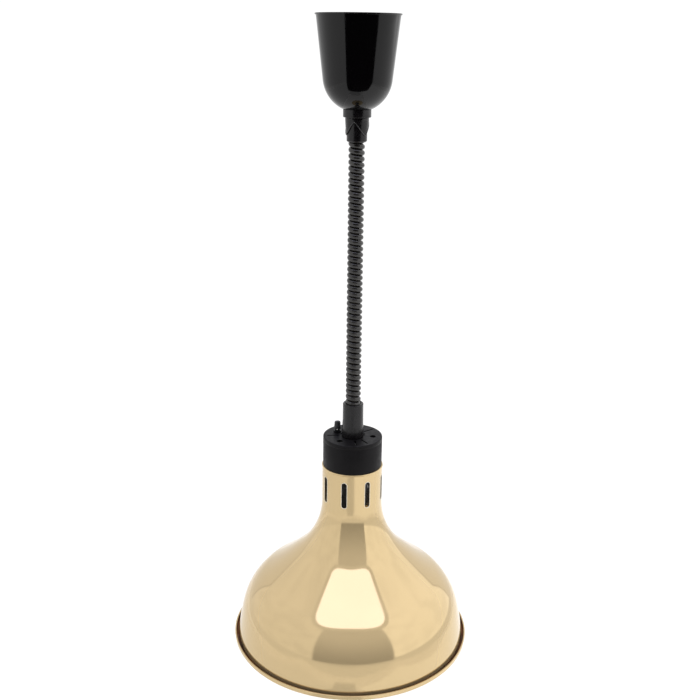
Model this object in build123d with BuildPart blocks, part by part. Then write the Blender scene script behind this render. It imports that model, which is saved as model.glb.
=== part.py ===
from build123d import *
from math import cos, pi, radians, sin
import os

# Ceiling-hung heat lamp with a rise-and-fall cord, in millimetres.
# Z = 0 is the ceiling plane and the lamp hangs down, so heights are negative.
# -Y is the front of the lamp.

# ---- driving dimensions ----
# Canopy: a tapered cup with a round bottom, open against the ceiling.
canopy_lip_r = 42.7
canopy_lip_t = 1.6
canopy_top_r = 41.7
canopy_taper_r = 34.6
canopy_taper_z = -62.8
canopy_bottom_r = 15.0
canopy_bottom_z = -90.2
canopy_wall = 2.0

# Ceiling bracket: a flat bar across the canopy's mouth.
bracket_length = 72.0
bracket_width = 20.0
bracket_t = 2.0
ceiling_hole_spacing = 56.0
ceiling_hole_r = 2.25
frame_screw_spacing = 37.0

# Reel: a spring drum on a level axle, whose rope drops down the lamp's own axis.
rope_r = 0.6
reel_pitch_r = 13.5
reel_z = -42.0
drum_flange_r = 17.5
drum_flange_t = 1.6
drum_gap = 17.0
drum_bore_r = 11.0
axle_r = 3.0
running_gap = 0.05
frame_t = 1.6
frame_half_y = 12.6
frame_floor_z = -70.0
frame_web_x = 13.0
cheek_r = 12.0

# Hanger stem and cord grip under the canopy.
stem_r = 11.0
stem_bore_r = 8.8
stem_bottom_z = -103.0
stem_nut_r = 15.5
stem_nut_t = 4.0
collar_r = 14.2
collar_bottom_z = -98.3
sleeve_top_r = 12.0
sleeve_bottom_r = 11.05
sleeve_bottom_z = -116.0
sleeve_wall = 0.55
grip_tube_r = 10.35
grip_tube_top_z = -103.0
grip_tube_bottom_z = -122.5

# Coiled cord, at rest, round the rope.
strand_r = 3.0
coil_r = 8.4
helix_r = coil_r - strand_r
coil_top_z = -112.0
coil_bottom_z = -414.0

# Lower cord tube and the cap under it.
tube_top_z = -403.5
tube_r = 11.3
tube_foot_r = 12.1
cap_top_z = -441.7
cap_r = 32.7
cap_wall = 2.4
cap_top_t = 3.0
cap_bottom_z = -482.0
spigot_r = 10.0
spigot_bore_r = 8.6
spigot_bottom_z = -452.0
tube_nut_r = 14.0
tube_nut_t = 5.0
cap_screw_circle_r = 22.5
cap_screw_angles = [111.5, 231.5, 351.5]
cap_screw_r = 1.7
cap_screw_head_r = 2.9
vent_angles = [38, 65, 185, 278, 305]
vent_mid_r = 22.0
vent_length = 13.0
vent_width = 1.8

# Switch beside the tube.
switch_angle = 154.0
switch_circle_r = 19.0
switch_tilt = 11.0
bushing_r = 3.0
lever_r = 1.15
lever_pivot_z = -440.6

# Shade: a spun dome with a neck, from the neck's top down to the rolled rim.
neck_r = 33.65
neck_top_z = -475.5
shade_wall = 0.9
flare_start_z = -518.0
flare_r = 86.0
flare_angle = 46.6
slope_r = 340.0
slope_angle = 54.8
shoulder_r = 67.5
shoulder_angle = 13.6
skirt_r = 290.0
skirt_angle = 7.7
rim_r = 135.0
bead_r = 2.8
slot_count = 8
slot_first_angle = 255.0
slot_height = 30.6
slot_width = 6.2
slot_mid_z = -500.5
shade_ring_t = 1.6
shade_ring_inner_r = 24.5

# Lampholder and lamp (E27 screw base).
holder_r = 19.8
holder_top_z = -484.2
holder_bottom_z = -524.0
holder_cavity_r = 14.6
holder_cavity_z = -495.0
holder_screw_spacing = 28.0
bracket_angle = 81.5
stirrup_half = 19.0
stirrup_t = 1.5
stirrup_width = 12.0
stirrup_boss_r = 14.6
wire_way_r = 10.5
shell_r = 14.5
shell_bore_r = 13.6
lamp_tip_z = -497.0
lamp_cap_r = 12.7
lamp_thread_r = 13.1
thread_pitch = 3.63
lamp_neck_z = -523.0
lamp_bulb_r = 62.5
lamp_face_z = -671.0
glass_t = 1.2
wire_r = 1.1
lamp_neck_r = 22.5
filament_ring_r = 14.0
filament_r = 0.7

os.makedirs("parts", exist_ok=True)


def on_circle(radius, angle, z=0.0):
    """A point at this radius and compass angle round the lamp's axis."""
    return (radius * cos(radians(angle)), radius * sin(radians(angle)), z)


# ---- ceiling unit ----
with BuildPart() as ceiling_bracket:
    with BuildSketch(Plane.XY.offset(-bracket_t)):
        RectangleRounded(bracket_width, bracket_length, 4)
        with GridLocations(0, ceiling_hole_spacing, 1, 2):
            Circle(ceiling_hole_r, mode=Mode.SUBTRACT)
        with GridLocations(0, frame_screw_spacing, 1, 2):
            Circle(1.75, mode=Mode.SUBTRACT)
    extrude(amount=bracket_t)
ceiling_bracket.part.label = "ceiling_bracket"
export_step(ceiling_bracket.part, "parts/ceiling_bracket.step")

# The frame is bent from one strip: two flanges, two cheeks, a floor and a side web.
flange_out_y = 23.0
with BuildPart() as reel_frame:
    with BuildSketch(Plane.YZ):
        with BuildLine():
            Polyline(
                (flange_out_y, -bracket_t - frame_t / 2),
                (frame_half_y + frame_t / 2, -bracket_t - frame_t / 2),
                (frame_half_y + frame_t / 2, frame_floor_z + frame_t / 2),
                (-frame_half_y - frame_t / 2, frame_floor_z + frame_t / 2),
                (-frame_half_y - frame_t / 2, -bracket_t - frame_t / 2),
                (-flange_out_y, -bracket_t - frame_t / 2),
            )
            offset(amount=frame_t / 2)
        make_face()
    extrude(amount=frame_web_x, both=True)
    # cheeks widen to carry the axle, which stands off the lamp's axis
    with BuildSketch(Plane.XZ):
        with Locations((-reel_pitch_r, reel_z)):
            Circle(cheek_r)
    extrude(amount=frame_half_y + frame_t, both=True)
    with BuildSketch(Plane.XZ):
        with Locations((-reel_pitch_r, reel_z)):
            Circle(cheek_r + 0.5)
    extrude(amount=frame_half_y, both=True, mode=Mode.SUBTRACT)
    # web between the cheeks, which carries the terminal block
    with BuildSketch(Plane.YZ.offset(frame_web_x - frame_t)):
        with Locations((0, -25)):
            Rectangle(2 * frame_half_y, 24)
        with Locations((7, -22), (-7, -22)):
            Circle(1.25, mode=Mode.SUBTRACT)
    extrude(amount=frame_t)
    with BuildSketch(Plane.XY.offset(frame_floor_z)):
        Circle(stem_r + 0.1)
    extrude(amount=frame_t, mode=Mode.SUBTRACT)
    with BuildSketch(Plane.XY.offset(-bracket_t - frame_t)):
        with GridLocations(0, frame_screw_spacing, 1, 2):
            Circle(1.7)
    extrude(amount=frame_t, mode=Mode.SUBTRACT)
    with BuildSketch(Plane.XZ):
        with Locations((-reel_pitch_r, reel_z)):
            Circle(axle_r)
    extrude(amount=frame_half_y + frame_t, both=True, mode=Mode.SUBTRACT)
reel_frame.part.label = "reel_frame"
export_step(reel_frame.part, "parts/reel_frame.step")

with BuildPart() as frame_screws:
    for side in (-1, 1):
        screw_y = side * frame_screw_spacing / 2
        with BuildSketch(Plane.XY.offset(-bracket_t - frame_t)):
            with Locations((0, screw_y)):
                Circle(1.65)
        extrude(amount=bracket_t + frame_t - 0.2)
        with BuildSketch(Plane.XY.offset(-bracket_t - frame_t - 2.0)):
            with Locations((0, screw_y)):
                Circle(3.2)
                Rectangle(0.9, 5.0, mode=Mode.SUBTRACT)
        extrude(amount=2.0)
frame_screws.part.label = "frame_screws"
export_step(frame_screws.part, "parts/frame_screws.step")

# Axle and its clips outside the cheeks.
axle_end_y = frame_half_y + frame_t + 2.4
with BuildPart() as reel_axle:
    with BuildSketch(Plane.XZ):
        with Locations((-reel_pitch_r, reel_z)):
            Circle(axle_r)
    extrude(amount=axle_end_y, both=True)
    for side in (-1, 1):
        with BuildSketch(Plane.XZ.offset(side * (frame_half_y + frame_t + 0.4))):
            with Locations((-reel_pitch_r, reel_z)):
                Circle(axle_r)
                Circle(axle_r - 0.6, mode=Mode.SUBTRACT)
        extrude(amount=side * 0.8, mode=Mode.SUBTRACT)
reel_axle.part.label = "reel_axle"
export_step(reel_axle.part, "parts/reel_axle.step")

with BuildPart() as axle_clips:
    for side in (-1, 1):
        with BuildSketch(Plane.XZ.offset(side * (frame_half_y + frame_t + 0.4))):
            with Locations((-reel_pitch_r, reel_z)):
                Circle(5.2)
                Circle(axle_r - 0.6, mode=Mode.SUBTRACT)
            with Locations((-reel_pitch_r, reel_z - 4)):
                Rectangle(2.6, 6, mode=Mode.SUBTRACT)
        extrude(amount=side * 0.7)
axle_clips.part.label = "axle_clips"
export_step(axle_clips.part, "parts/axle_clips.step")

# Mainspring: a flat strip wound on the axle inside the drum.
spring_turns = 7
spring_inner_r = axle_r + 0.6
spring_pitch = 0.95
spring_t = 0.4
spring_width = 14.0


def spiral_point(turn, radius_shift):
    """A point on the mainspring's spiral, from the axle outwards."""
    radius = spring_inner_r + radius_shift + spring_pitch * turn
    angle = 2 * pi * turn
    return (-reel_pitch_r + radius * cos(angle), reel_z + radius * sin(angle))


with BuildPart() as mainspring:
    with BuildSketch(Plane.XZ.offset(-spring_width / 2)):
        with BuildLine():
            spiral_steps = [step / 16 for step in range(16 * spring_turns + 1)]
            inner_edge = Spline(*[spiral_point(turn, 0) for turn in spiral_steps])
            outer_edge = Spline(*[spiral_point(turn, spring_t) for turn in spiral_steps])
            Line(inner_edge @ 0, outer_edge @ 0)
            Line(inner_edge @ 1, outer_edge @ 1)
        make_face()
    extrude(amount=spring_width)
mainspring.part.label = "mainspring"
export_step(mainspring.part, "parts/mainspring.step")

# Drum: a cup with two flanges, a closed side with a hub, and a lid on the other side.
drum_half = drum_gap / 2 + drum_flange_t
with BuildPart() as reel_drum:
    with BuildSketch(Plane.XZ.offset(-drum_half)):
        with Locations((-reel_pitch_r, reel_z)):
            Circle(reel_pitch_r - rope_r)
    extrude(amount=2 * drum_half)
    for face_y in (-drum_half, drum_gap / 2):
        with BuildSketch(Plane.XZ.offset(face_y)):
            with Locations((-reel_pitch_r, reel_z)):
                Circle(drum_flange_r)
        extrude(amount=drum_flange_t)
    with BuildSketch(Plane.XZ.offset(-drum_gap / 2)):
        with Locations((-reel_pitch_r, reel_z)):
            Circle(drum_bore_r)
    extrude(amount=drum_gap + drum_flange_t, mode=Mode.SUBTRACT)
    with BuildSketch(Plane.XZ.offset(-drum_half)):
        with Locations((-reel_pitch_r, reel_z)):
            Circle(axle_r + running_gap)
    extrude(amount=drum_flange_t, mode=Mode.SUBTRACT)
reel_drum.part.label = "reel_drum"
export_step(reel_drum.part, "parts/reel_drum.step")

with BuildPart() as drum_cover:
    with BuildSketch(Plane.XZ.offset(drum_gap / 2)):
        with Locations((-reel_pitch_r, reel_z)):
            Circle(drum_bore_r)
            Circle(axle_r + running_gap, mode=Mode.SUBTRACT)
            with PolarLocations(7.2, 3, start_angle=90):
                Circle(1.4, mode=Mode.SUBTRACT)
    extrude(amount=drum_flange_t)
drum_cover.part.label = "drum_cover"
export_step(drum_cover.part, "parts/drum_cover.step")

# The rope's turns on the drum, as one closed sleeve of their outer shape.
with BuildPart() as rope_winding:
    with BuildSketch(Plane.XZ.offset(-drum_gap / 2)):
        with Locations((-reel_pitch_r, reel_z)):
            Circle(reel_pitch_r + rope_r)
            Circle(reel_pitch_r - rope_r, mode=Mode.SUBTRACT)
    extrude(amount=drum_gap)
rope_winding.part.label = "rope_winding"
export_step(rope_winding.part, "parts/rope_winding.step")

# Hanging stretch of the rope, from under the drum to the anchor in the lamp head.
rope_top_z = reel_z - 7.5
anchor_washer_t = 1.6
ferrule_top_z = spigot_bottom_z - anchor_washer_t
with BuildPart() as wire_rope:
    with BuildSketch(Plane.XY.offset(ferrule_top_z)):
        Circle(rope_r)
    extrude(amount=rope_top_z - ferrule_top_z)
wire_rope.part.label = "wire_rope"
export_step(wire_rope.part, "parts/wire_rope.step")

# Terminal block on the frame's web, with three wire ways.
block_depth = 14.0
block_width = 28.0
block_top_z = -14.0
block_height = 16.0
way_pitch = 9.0
way_r = 1.9
block_screw_levels = [-18.0, -26.0]
block_mid_x = frame_web_x + block_depth / 2
with BuildPart() as terminal_block:
    with BuildSketch(Plane.XY.offset(block_top_z - block_height)):
        with Locations((block_mid_x, 0)):
            Rectangle(block_depth, block_width)
            for way_y in (-5.5, 5.5):
                with Locations((block_depth / 2, way_y)):
                    Rectangle(4, 1.6, mode=Mode.SUBTRACT)
    extrude(amount=block_height)
    with BuildSketch(Plane.XY.offset(block_top_z - block_height)):
        with Locations((block_mid_x, 0)):
            with GridLocations(0, way_pitch, 1, 3):
                Circle(way_r)
    extrude(amount=block_height, mode=Mode.SUBTRACT)
    with BuildSketch(Plane.YZ.offset(frame_web_x + block_depth - 5)):
        for screw_z in block_screw_levels:
            with Locations((0, screw_z)):
                with GridLocations(way_pitch, 0, 3, 1):
                    Circle(1.6)
    extrude(amount=5, mode=Mode.SUBTRACT)
terminal_block.part.label = "terminal_block"
export_step(terminal_block.part, "parts/terminal_block.step")

with BuildPart() as terminal_screws:
    for screw_z in block_screw_levels:
        with BuildSketch(Plane.YZ.offset(frame_web_x + block_depth - 4.6)):
            with Locations((0, screw_z)):
                with GridLocations(way_pitch, 0, 3, 1):
                    Circle(1.5)
        extrude(amount=3.4)
        with BuildSketch(Plane.YZ.offset(frame_web_x + block_depth - 1.8)):
            with Locations((0, screw_z)):
                with GridLocations(way_pitch, 0, 3, 1):
                    Rectangle(0.5, 3.2)
        extrude(amount=0.7, mode=Mode.SUBTRACT)
terminal_screws.part.label = "terminal_screws"
export_step(terminal_screws.part, "parts/terminal_screws.step")

# Canopy shell: its outer line from the lip's underside to the bottom hole, given a wall.
with BuildPart() as canopy:
    with BuildSketch(Plane.XZ):
        with BuildLine():
            taper = Line((canopy_top_r, 0), (canopy_taper_r, canopy_taper_z))
            bowl = TangentArc(
                (canopy_taper_r, canopy_taper_z),
                (canopy_bottom_r, canopy_bottom_z),
                tangent=taper % 1,
            )
            Line(bowl @ 1, (stem_r + 0.1, canopy_bottom_z))
            offset(amount=canopy_wall, side=Side.RIGHT)
        make_face()
        with Locations((canopy_lip_r, -canopy_lip_t)):
            Rectangle(
                canopy_lip_r - canopy_top_r + 1,
                canopy_lip_t,
                align=(Align.MAX, Align.MIN),
            )
    revolve(axis=Axis.Z)
canopy.part.label = "canopy"
export_step(canopy.part, "parts/canopy.step")

# Hanger stem: a threaded tube through the frame's floor and the canopy's bottom.
stem_flange_t = 2.0
with BuildPart() as hanger_stem:
    with BuildSketch(Plane.XY.offset(frame_floor_z + frame_t)):
        Circle(stem_r + 1.4)
        Circle(stem_bore_r, mode=Mode.SUBTRACT)
    extrude(amount=stem_flange_t)
    with BuildSketch(Plane.XY.offset(stem_bottom_z)):
        Circle(stem_r)
        Circle(stem_bore_r, mode=Mode.SUBTRACT)
    extrude(amount=frame_floor_z + frame_t - stem_bottom_z)
hanger_stem.part.label = "hanger_stem"
export_step(hanger_stem.part, "parts/hanger_stem.step")

with BuildPart() as stem_nut:
    with BuildSketch(Plane.XY.offset(frame_floor_z - stem_nut_t)):
        RegularPolygon(stem_nut_r, 6)
        Circle(stem_r, mode=Mode.SUBTRACT)
    extrude(amount=stem_nut_t)
stem_nut.part.label = "stem_nut"
export_step(stem_nut.part, "parts/stem_nut.step")

# Grip collar: a ring nut under the canopy, with a short lug on its front left.
collar_lug_angle = 247.0
with BuildPart() as grip_collar:
    with BuildSketch(Plane.XY.offset(collar_bottom_z)):
        Circle(collar_r)
    extrude(amount=canopy_bottom_z - collar_bottom_z)
    collar_edges = edges().filter_by(GeomType.CIRCLE).sort_by(Axis.Z)
    fillet(collar_edges[0], 0.8)
    fillet(collar_edges[-1], 0.6)
    with BuildSketch(Plane.XY.offset(collar_bottom_z)):
        Circle(stem_r)
    extrude(amount=canopy_bottom_z - collar_bottom_z, mode=Mode.SUBTRACT)
    with BuildSketch(Plane.XY.offset(collar_bottom_z - 2.2)):
        with Locations(on_circle(sleeve_top_r + 0.9, collar_lug_angle)):
            Circle(0.8)
    extrude(amount=2.6)
grip_collar.part.label = "grip_collar"
export_step(grip_collar.part, "parts/grip_collar.step")

# Grip sleeve: a thin tapered skirt with pointed arches, which leave three pointed tabs.
arch_count = 3
arch_first_angle = 262.0
arch_half_angle = 52.0
arch_top_z = -106.0
with BuildPart() as grip_sleeve:
    with BuildSketch(Plane.XZ):
        with BuildLine():
            Polyline(
                (stem_r, collar_bottom_z),
                (sleeve_top_r, collar_bottom_z),
                (sleeve_top_r, collar_bottom_z - 3),
                (sleeve_bottom_r, sleeve_bottom_z),
                (sleeve_bottom_r - sleeve_wall, sleeve_bottom_z),
                (sleeve_top_r - 1.3, stem_bottom_z - 1),
                (stem_r, stem_bottom_z),
                close=True,
            )
        make_face()
    revolve(axis=Axis.Z)
    for arch in range(arch_count):
        middle = arch_first_angle + 360 / arch_count * arch
        arch_plane = Plane(
            origin=on_circle(5, middle),
            x_dir=on_circle(1, middle + 90),
            z_dir=on_circle(1, middle),
        )
        arch_half_w = sleeve_bottom_r * sin(radians(arch_half_angle))
        with BuildSketch(arch_plane):
            with BuildLine():
                Line((-arch_half_w, sleeve_bottom_z - 1), (arch_half_w, sleeve_bottom_z - 1))
                Line((arch_half_w, sleeve_bottom_z - 1), (arch_half_w, sleeve_bottom_z + 0.8))
                ThreePointArc(
                    (arch_half_w, sleeve_bottom_z + 0.8), (4.6, -109.6), (0, arch_top_z)
                )
                ThreePointArc(
                    (0, arch_top_z), (-4.6, -109.6), (-arch_half_w, sleeve_bottom_z + 0.8)
                )
                Line((-arch_half_w, sleeve_bottom_z + 0.8), (-arch_half_w, sleeve_bottom_z - 1))
            make_face()
        extrude(amount=sleeve_top_r, mode=Mode.SUBTRACT)
grip_sleeve.part.label = "grip_sleeve"
export_step(grip_sleeve.part, "parts/grip_sleeve.step")

with BuildPart() as grip_tube:
    with BuildSketch(Plane.XY.offset(grip_tube_bottom_z)):
        Circle(grip_tube_r)
    extrude(amount=grip_tube_top_z - grip_tube_bottom_z)
    chamfer(edges().filter_by(GeomType.CIRCLE).sort_by(Axis.Z)[0], 1.1)
    with BuildSketch(Plane.XY.offset(grip_tube_bottom_z)):
        Circle(coil_r + 0.3)
    extrude(amount=grip_tube_top_z - grip_tube_bottom_z, mode=Mode.SUBTRACT)
grip_tube.part.label = "grip_tube"
export_step(grip_tube.part, "parts/grip_tube.step")

# The coiled cord's outer shape, open along the middle for the rope.
with BuildPart() as coiled_cord:
    with BuildSketch(Plane.XY.offset(coil_bottom_z)):
        Circle(coil_r)
        Circle(coil_r - 2 * strand_r, mode=Mode.SUBTRACT)
    extrude(amount=coil_top_z - coil_bottom_z)
coiled_cord.part.label = "coiled_cord"
export_step(coiled_cord.part, "parts/coiled_cord.step")

# The cord's sheathed tail inside the canopy, from the coil up to the terminal block.
tail_end_z = -37.0
upper_route = [
    (helix_r, 0, coil_top_z),
    (helix_r, 0, -58),
    (block_mid_x, 0, -46),
    (block_mid_x, 0, tail_end_z),
]
upper_radii = [14.0, 8.5]
with BuildPart() as upper_cord_tail:
    with BuildLine() as upper_path:
        FilletPolyline(*upper_route, radius=upper_radii)
    with BuildSketch(Plane(upper_path.line @ 0, z_dir=upper_path.line % 0)):
        Circle(strand_r - 0.05)
    sweep()
upper_cord_tail.part.label = "upper_cord_tail"
export_step(upper_cord_tail.part, "parts/upper_cord_tail.step")
tail_area = pi * (strand_r - 0.05) ** 2
print("upper cord tail radii", upper_radii)
print("  volume", round(upper_cord_tail.part.volume), "section x length",
      round(tail_area * upper_path.wire().length))

# Its three cores, up into the terminal block's ways.
with BuildPart() as tail_cores:
    for way in (-1, 0, 1):
        core_start = (block_mid_x, way * 1.6, tail_end_z)
        core_end = (block_mid_x, way * way_pitch, block_top_z - block_height + 3)
        if way == 0:
            with BuildLine() as core_path:
                Line(core_start, core_end)
        else:
            with BuildLine() as core_path:
                FilletPolyline(
                    core_start,
                    (block_mid_x, way * 1.6, tail_end_z + 1.6),
                    (block_mid_x, way * way_pitch, block_top_z - block_height - 1.0),
                    core_end,
                    radius=[1.2, 1.2],
                )
        with BuildSketch(Plane(core_path.line @ 0, z_dir=core_path.line % 0)):
            Circle(0.75)
        sweep()
tail_cores.part.label = "tail_cores"
export_step(tail_cores.part, "parts/tail_cores.step")

# ---- lamp head ----
# Lower cord tube, with the threaded spigot that goes through the cap.
with BuildPart() as lower_cord_tube:
    with BuildSketch(Plane.XZ):
        with BuildLine():
            Polyline(
                (coil_r + 0.3, tube_top_z),
                (tube_r - 0.6, tube_top_z),
                (tube_r, tube_top_z - 0.6),
                (tube_foot_r, cap_top_z - 1.0),
                (spigot_r, cap_top_z - 1.0),
                (spigot_r, spigot_bottom_z),
                (spigot_bore_r, spigot_bottom_z),
                (spigot_bore_r, coil_bottom_z - 6),
                (coil_r + 0.3, coil_bottom_z - 6),
                close=True,
            )
        make_face()
    revolve(axis=Axis.Z)
lower_cord_tube.part.label = "lower_cord_tube"
export_step(lower_cord_tube.part, "parts/lower_cord_tube.step")

with BuildPart() as anchor_washer:
    with BuildSketch(Plane.XY.offset(ferrule_top_z)):
        Circle(spigot_r)
        Circle(rope_r, mode=Mode.SUBTRACT)
        with Locations((helix_r, 0)):
            Circle(strand_r, mode=Mode.SUBTRACT)
        with Locations((helix_r + 3, 0)):
            Rectangle(6, 2 * strand_r, mode=Mode.SUBTRACT)
    extrude(amount=anchor_washer_t)
anchor_washer.part.label = "anchor_washer"
export_step(anchor_washer.part, "parts/anchor_washer.step")

ferrule_length = 7.0
with BuildPart() as rope_ferrule:
    with BuildSketch(Plane.XY.offset(ferrule_top_z - ferrule_length)):
        SlotOverall(3.6, 2.6)
    extrude(amount=ferrule_length)
    fillet(edges().group_by(Axis.Z)[0], 0.4)
rope_ferrule.part.label = "rope_ferrule"
export_step(rope_ferrule.part, "parts/rope_ferrule.step")

# Cap: a moulded cup with three screw towers, radial vents and a boss recess round the tube.
tower_r = 4.4
head_recess_r = 3.3
head_recess_depth = 6.0
with BuildPart() as top_cap:
    with BuildSketch(Plane.XY.offset(cap_bottom_z)):
        Circle(cap_r)
    extrude(amount=cap_top_z - cap_bottom_z)
    fillet(edges().filter_by(GeomType.CIRCLE).sort_by(Axis.Z)[-1], 1.3)
    with BuildSketch(Plane.XY.offset(cap_bottom_z)):
        Circle(cap_r - cap_wall)
    extrude(amount=cap_top_z - cap_top_t - cap_bottom_z, mode=Mode.SUBTRACT)
    with BuildSketch(Plane.XY.offset(cap_bottom_z)):
        for angle in cap_screw_angles:
            with Locations(on_circle(cap_screw_circle_r, angle)):
                Circle(tower_r)
    extrude(amount=cap_top_z - cap_top_t - cap_bottom_z)
    with BuildSketch(Plane.XY.offset(cap_top_z - 1.0)):
        Circle(tube_foot_r + 1.6)
    extrude(amount=1.0, mode=Mode.SUBTRACT)
    with BuildSketch(Plane.XY.offset(cap_top_z - cap_top_t)):
        Circle(spigot_r)
        with Locations(on_circle(switch_circle_r, switch_angle)):
            Circle(bushing_r)
        for angle in vent_angles:
            with Locations(Location(on_circle(vent_mid_r, angle), (0, 0, angle))):
                SlotOverall(vent_length, vent_width)
    extrude(amount=cap_top_t, mode=Mode.SUBTRACT)
    with BuildSketch(Plane.XY.offset(cap_bottom_z)):
        for angle in cap_screw_angles:
            with Locations(on_circle(cap_screw_circle_r, angle)):
                Circle(cap_screw_r + 0.1)
    extrude(amount=cap_top_z - cap_bottom_z, mode=Mode.SUBTRACT)
    with BuildSketch(Plane.XY.offset(cap_top_z - head_recess_depth)):
        for angle in cap_screw_angles:
            with Locations(on_circle(cap_screw_circle_r, angle)):
                Circle(head_recess_r)
    extrude(amount=head_recess_depth, mode=Mode.SUBTRACT)
top_cap.part.label = "top_cap"
export_step(top_cap.part, "parts/top_cap.step")

with BuildPart() as cap_screws:
    for angle in cap_screw_angles:
        with BuildSketch(Plane.XY.offset(cap_bottom_z - shade_ring_t - 0.8)):
            with Locations(on_circle(cap_screw_circle_r, angle)):
                Circle(cap_screw_r)
        extrude(amount=cap_top_z - head_recess_depth - cap_bottom_z + shade_ring_t + 0.8)
        with BuildSketch(Plane.XY.offset(cap_top_z - head_recess_depth)):
            with Locations(on_circle(cap_screw_circle_r, angle)):
                Circle(cap_screw_head_r)
        extrude(amount=2.2)
        with BuildSketch(Plane.XY.offset(cap_top_z - head_recess_depth + 1.0)):
            with Locations(on_circle(cap_screw_circle_r, angle)):
                Rectangle(3.4, 0.7)
                Rectangle(0.7, 3.4)
        extrude(amount=1.2, mode=Mode.SUBTRACT)
cap_screws.part.label = "cap_screws"
export_step(cap_screws.part, "parts/cap_screws.step")

with BuildPart() as tube_nut:
    nut_top_z = cap_top_z - cap_top_t - stirrup_t
    with BuildSketch(Plane.XY.offset(nut_top_z - tube_nut_t)):
        RegularPolygon(tube_nut_r, 6)
        Circle(spigot_r, mode=Mode.SUBTRACT)
    extrude(amount=tube_nut_t)
tube_nut.part.label = "tube_nut"
export_step(tube_nut.part, "parts/tube_nut.step")

# Lampholder bracket: a stirrup clamped under the cap, with two inward feet.
stirrup_plane = Plane(
    origin=(0, 0, 0), x_dir=on_circle(1, bracket_angle), z_dir=on_circle(1, bracket_angle - 90)
)
with BuildPart() as holder_bracket:
    with BuildSketch(stirrup_plane):
        with BuildLine():
            Polyline(
                (-9, holder_top_z + stirrup_t / 2),
                (-stirrup_half, holder_top_z + stirrup_t / 2),
                (-stirrup_half, cap_top_z - cap_top_t - stirrup_t / 2),
                (stirrup_half, cap_top_z - cap_top_t - stirrup_t / 2),
                (stirrup_half, holder_top_z + stirrup_t / 2),
                (9, holder_top_z + stirrup_t / 2),
            )
            offset(amount=stirrup_t / 2)
        make_face()
    extrude(amount=stirrup_width / 2, both=True)
    with BuildSketch(Plane.XY.offset(cap_top_z - cap_top_t - stirrup_t)):
        Circle(stirrup_boss_r)
    extrude(amount=stirrup_t)
    with BuildSketch(Plane.XY.offset(cap_top_z - cap_top_t - stirrup_t)):
        Circle(spigot_r + 0.1)
    extrude(amount=stirrup_t, mode=Mode.SUBTRACT)
    with BuildSketch(Plane.XY.offset(holder_top_z)):
        for turn in (0, 180):
            with Locations(on_circle(holder_screw_spacing / 2, bracket_angle + turn)):
                Circle(1.8)
    extrude(amount=stirrup_t, mode=Mode.SUBTRACT)
holder_bracket.part.label = "holder_bracket"
export_step(holder_bracket.part, "parts/holder_bracket.step")

with BuildPart() as holder_screws:
    for turn in (0, 180):
        with BuildSketch(Plane.XY.offset(holder_top_z - 9)):
            with Locations(on_circle(holder_screw_spacing / 2, bracket_angle + turn)):
                Circle(1.6)
        extrude(amount=9 + stirrup_t)
        with BuildSketch(Plane.XY.offset(holder_top_z + stirrup_t)):
            with Locations(on_circle(holder_screw_spacing / 2, bracket_angle + turn)):
                Circle(3.0)
                Rectangle(0.8, 4.2, mode=Mode.SUBTRACT)
        extrude(amount=1.8)
holder_screws.part.label = "holder_screws"
export_step(holder_screws.part, "parts/holder_screws.step")

# Lampholder: a glazed ceramic cup with a screw shell and a centre contact.
with BuildPart() as lampholder_body:
    with BuildSketch(Plane.XZ):
        with BuildLine():
            Polyline(
                (0, holder_top_z),
                (holder_r - 1.5, holder_top_z),
                (holder_r, holder_top_z - 1.5),
                (holder_r, -498),
                (holder_r - 1.4, -499.4),
                (holder_r - 1.4, holder_bottom_z + 1.0),
                (holder_r - 2.4, holder_bottom_z),
                (holder_cavity_r, holder_bottom_z),
                (holder_cavity_r, holder_cavity_z),
                (0, holder_cavity_z),
                close=True,
            )
        make_face()
    revolve(axis=Axis.Z)
    with BuildSketch(Plane.XY.offset(holder_top_z - 9.5)):
        for turn in (0, 180):
            with Locations(on_circle(holder_screw_spacing / 2, bracket_angle + turn)):
                Circle(1.65)
    extrude(amount=9.5, mode=Mode.SUBTRACT)
    with BuildSketch(Plane.XY.offset(holder_cavity_z)):
        for turn in (90, 270):
            with Locations(on_circle(wire_way_r, bracket_angle + turn)):
                Circle(wire_r + 0.4)
    extrude(amount=holder_top_z - holder_cavity_z, mode=Mode.SUBTRACT)
lampholder_body.part.label = "lampholder_body"
export_step(lampholder_body.part, "parts/lampholder_body.step")

shell_top_z = holder_cavity_z - 4.0
shell_bottom_z = holder_bottom_z + 1.5
with BuildPart() as lampholder_shell:
    with BuildSketch(Plane.XY.offset(shell_bottom_z)):
        Circle(shell_r)
    extrude(amount=shell_top_z - shell_bottom_z)
    with BuildSketch(Plane.XY.offset(shell_bottom_z)):
        Circle(shell_bore_r)
    extrude(amount=shell_top_z - shell_bottom_z, mode=Mode.SUBTRACT)
    for groove in range(6):
        with BuildSketch(Plane.XZ):
            with Locations((shell_bore_r, shell_bottom_z + 2.6 + thread_pitch * groove)):
                Circle(0.55)
        revolve(axis=Axis.Z, mode=Mode.SUBTRACT)
lampholder_shell.part.label = "lampholder_shell"
export_step(lampholder_shell.part, "parts/lampholder_shell.step")

with BuildPart() as lampholder_contact:
    with BuildSketch(Plane.XY.offset(holder_cavity_z - 0.6)):
        SlotOverall(20, 6, rotation=bracket_angle)
    extrude(amount=0.6)
    with BuildSketch(Plane.XY.offset(lamp_tip_z + 0.1)):
        Circle(2.4)
    extrude(amount=holder_cavity_z - 0.6 - lamp_tip_z - 0.1)
lampholder_contact.part.label = "lampholder_contact"
export_step(lampholder_contact.part, "parts/lampholder_contact.step")

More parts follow.
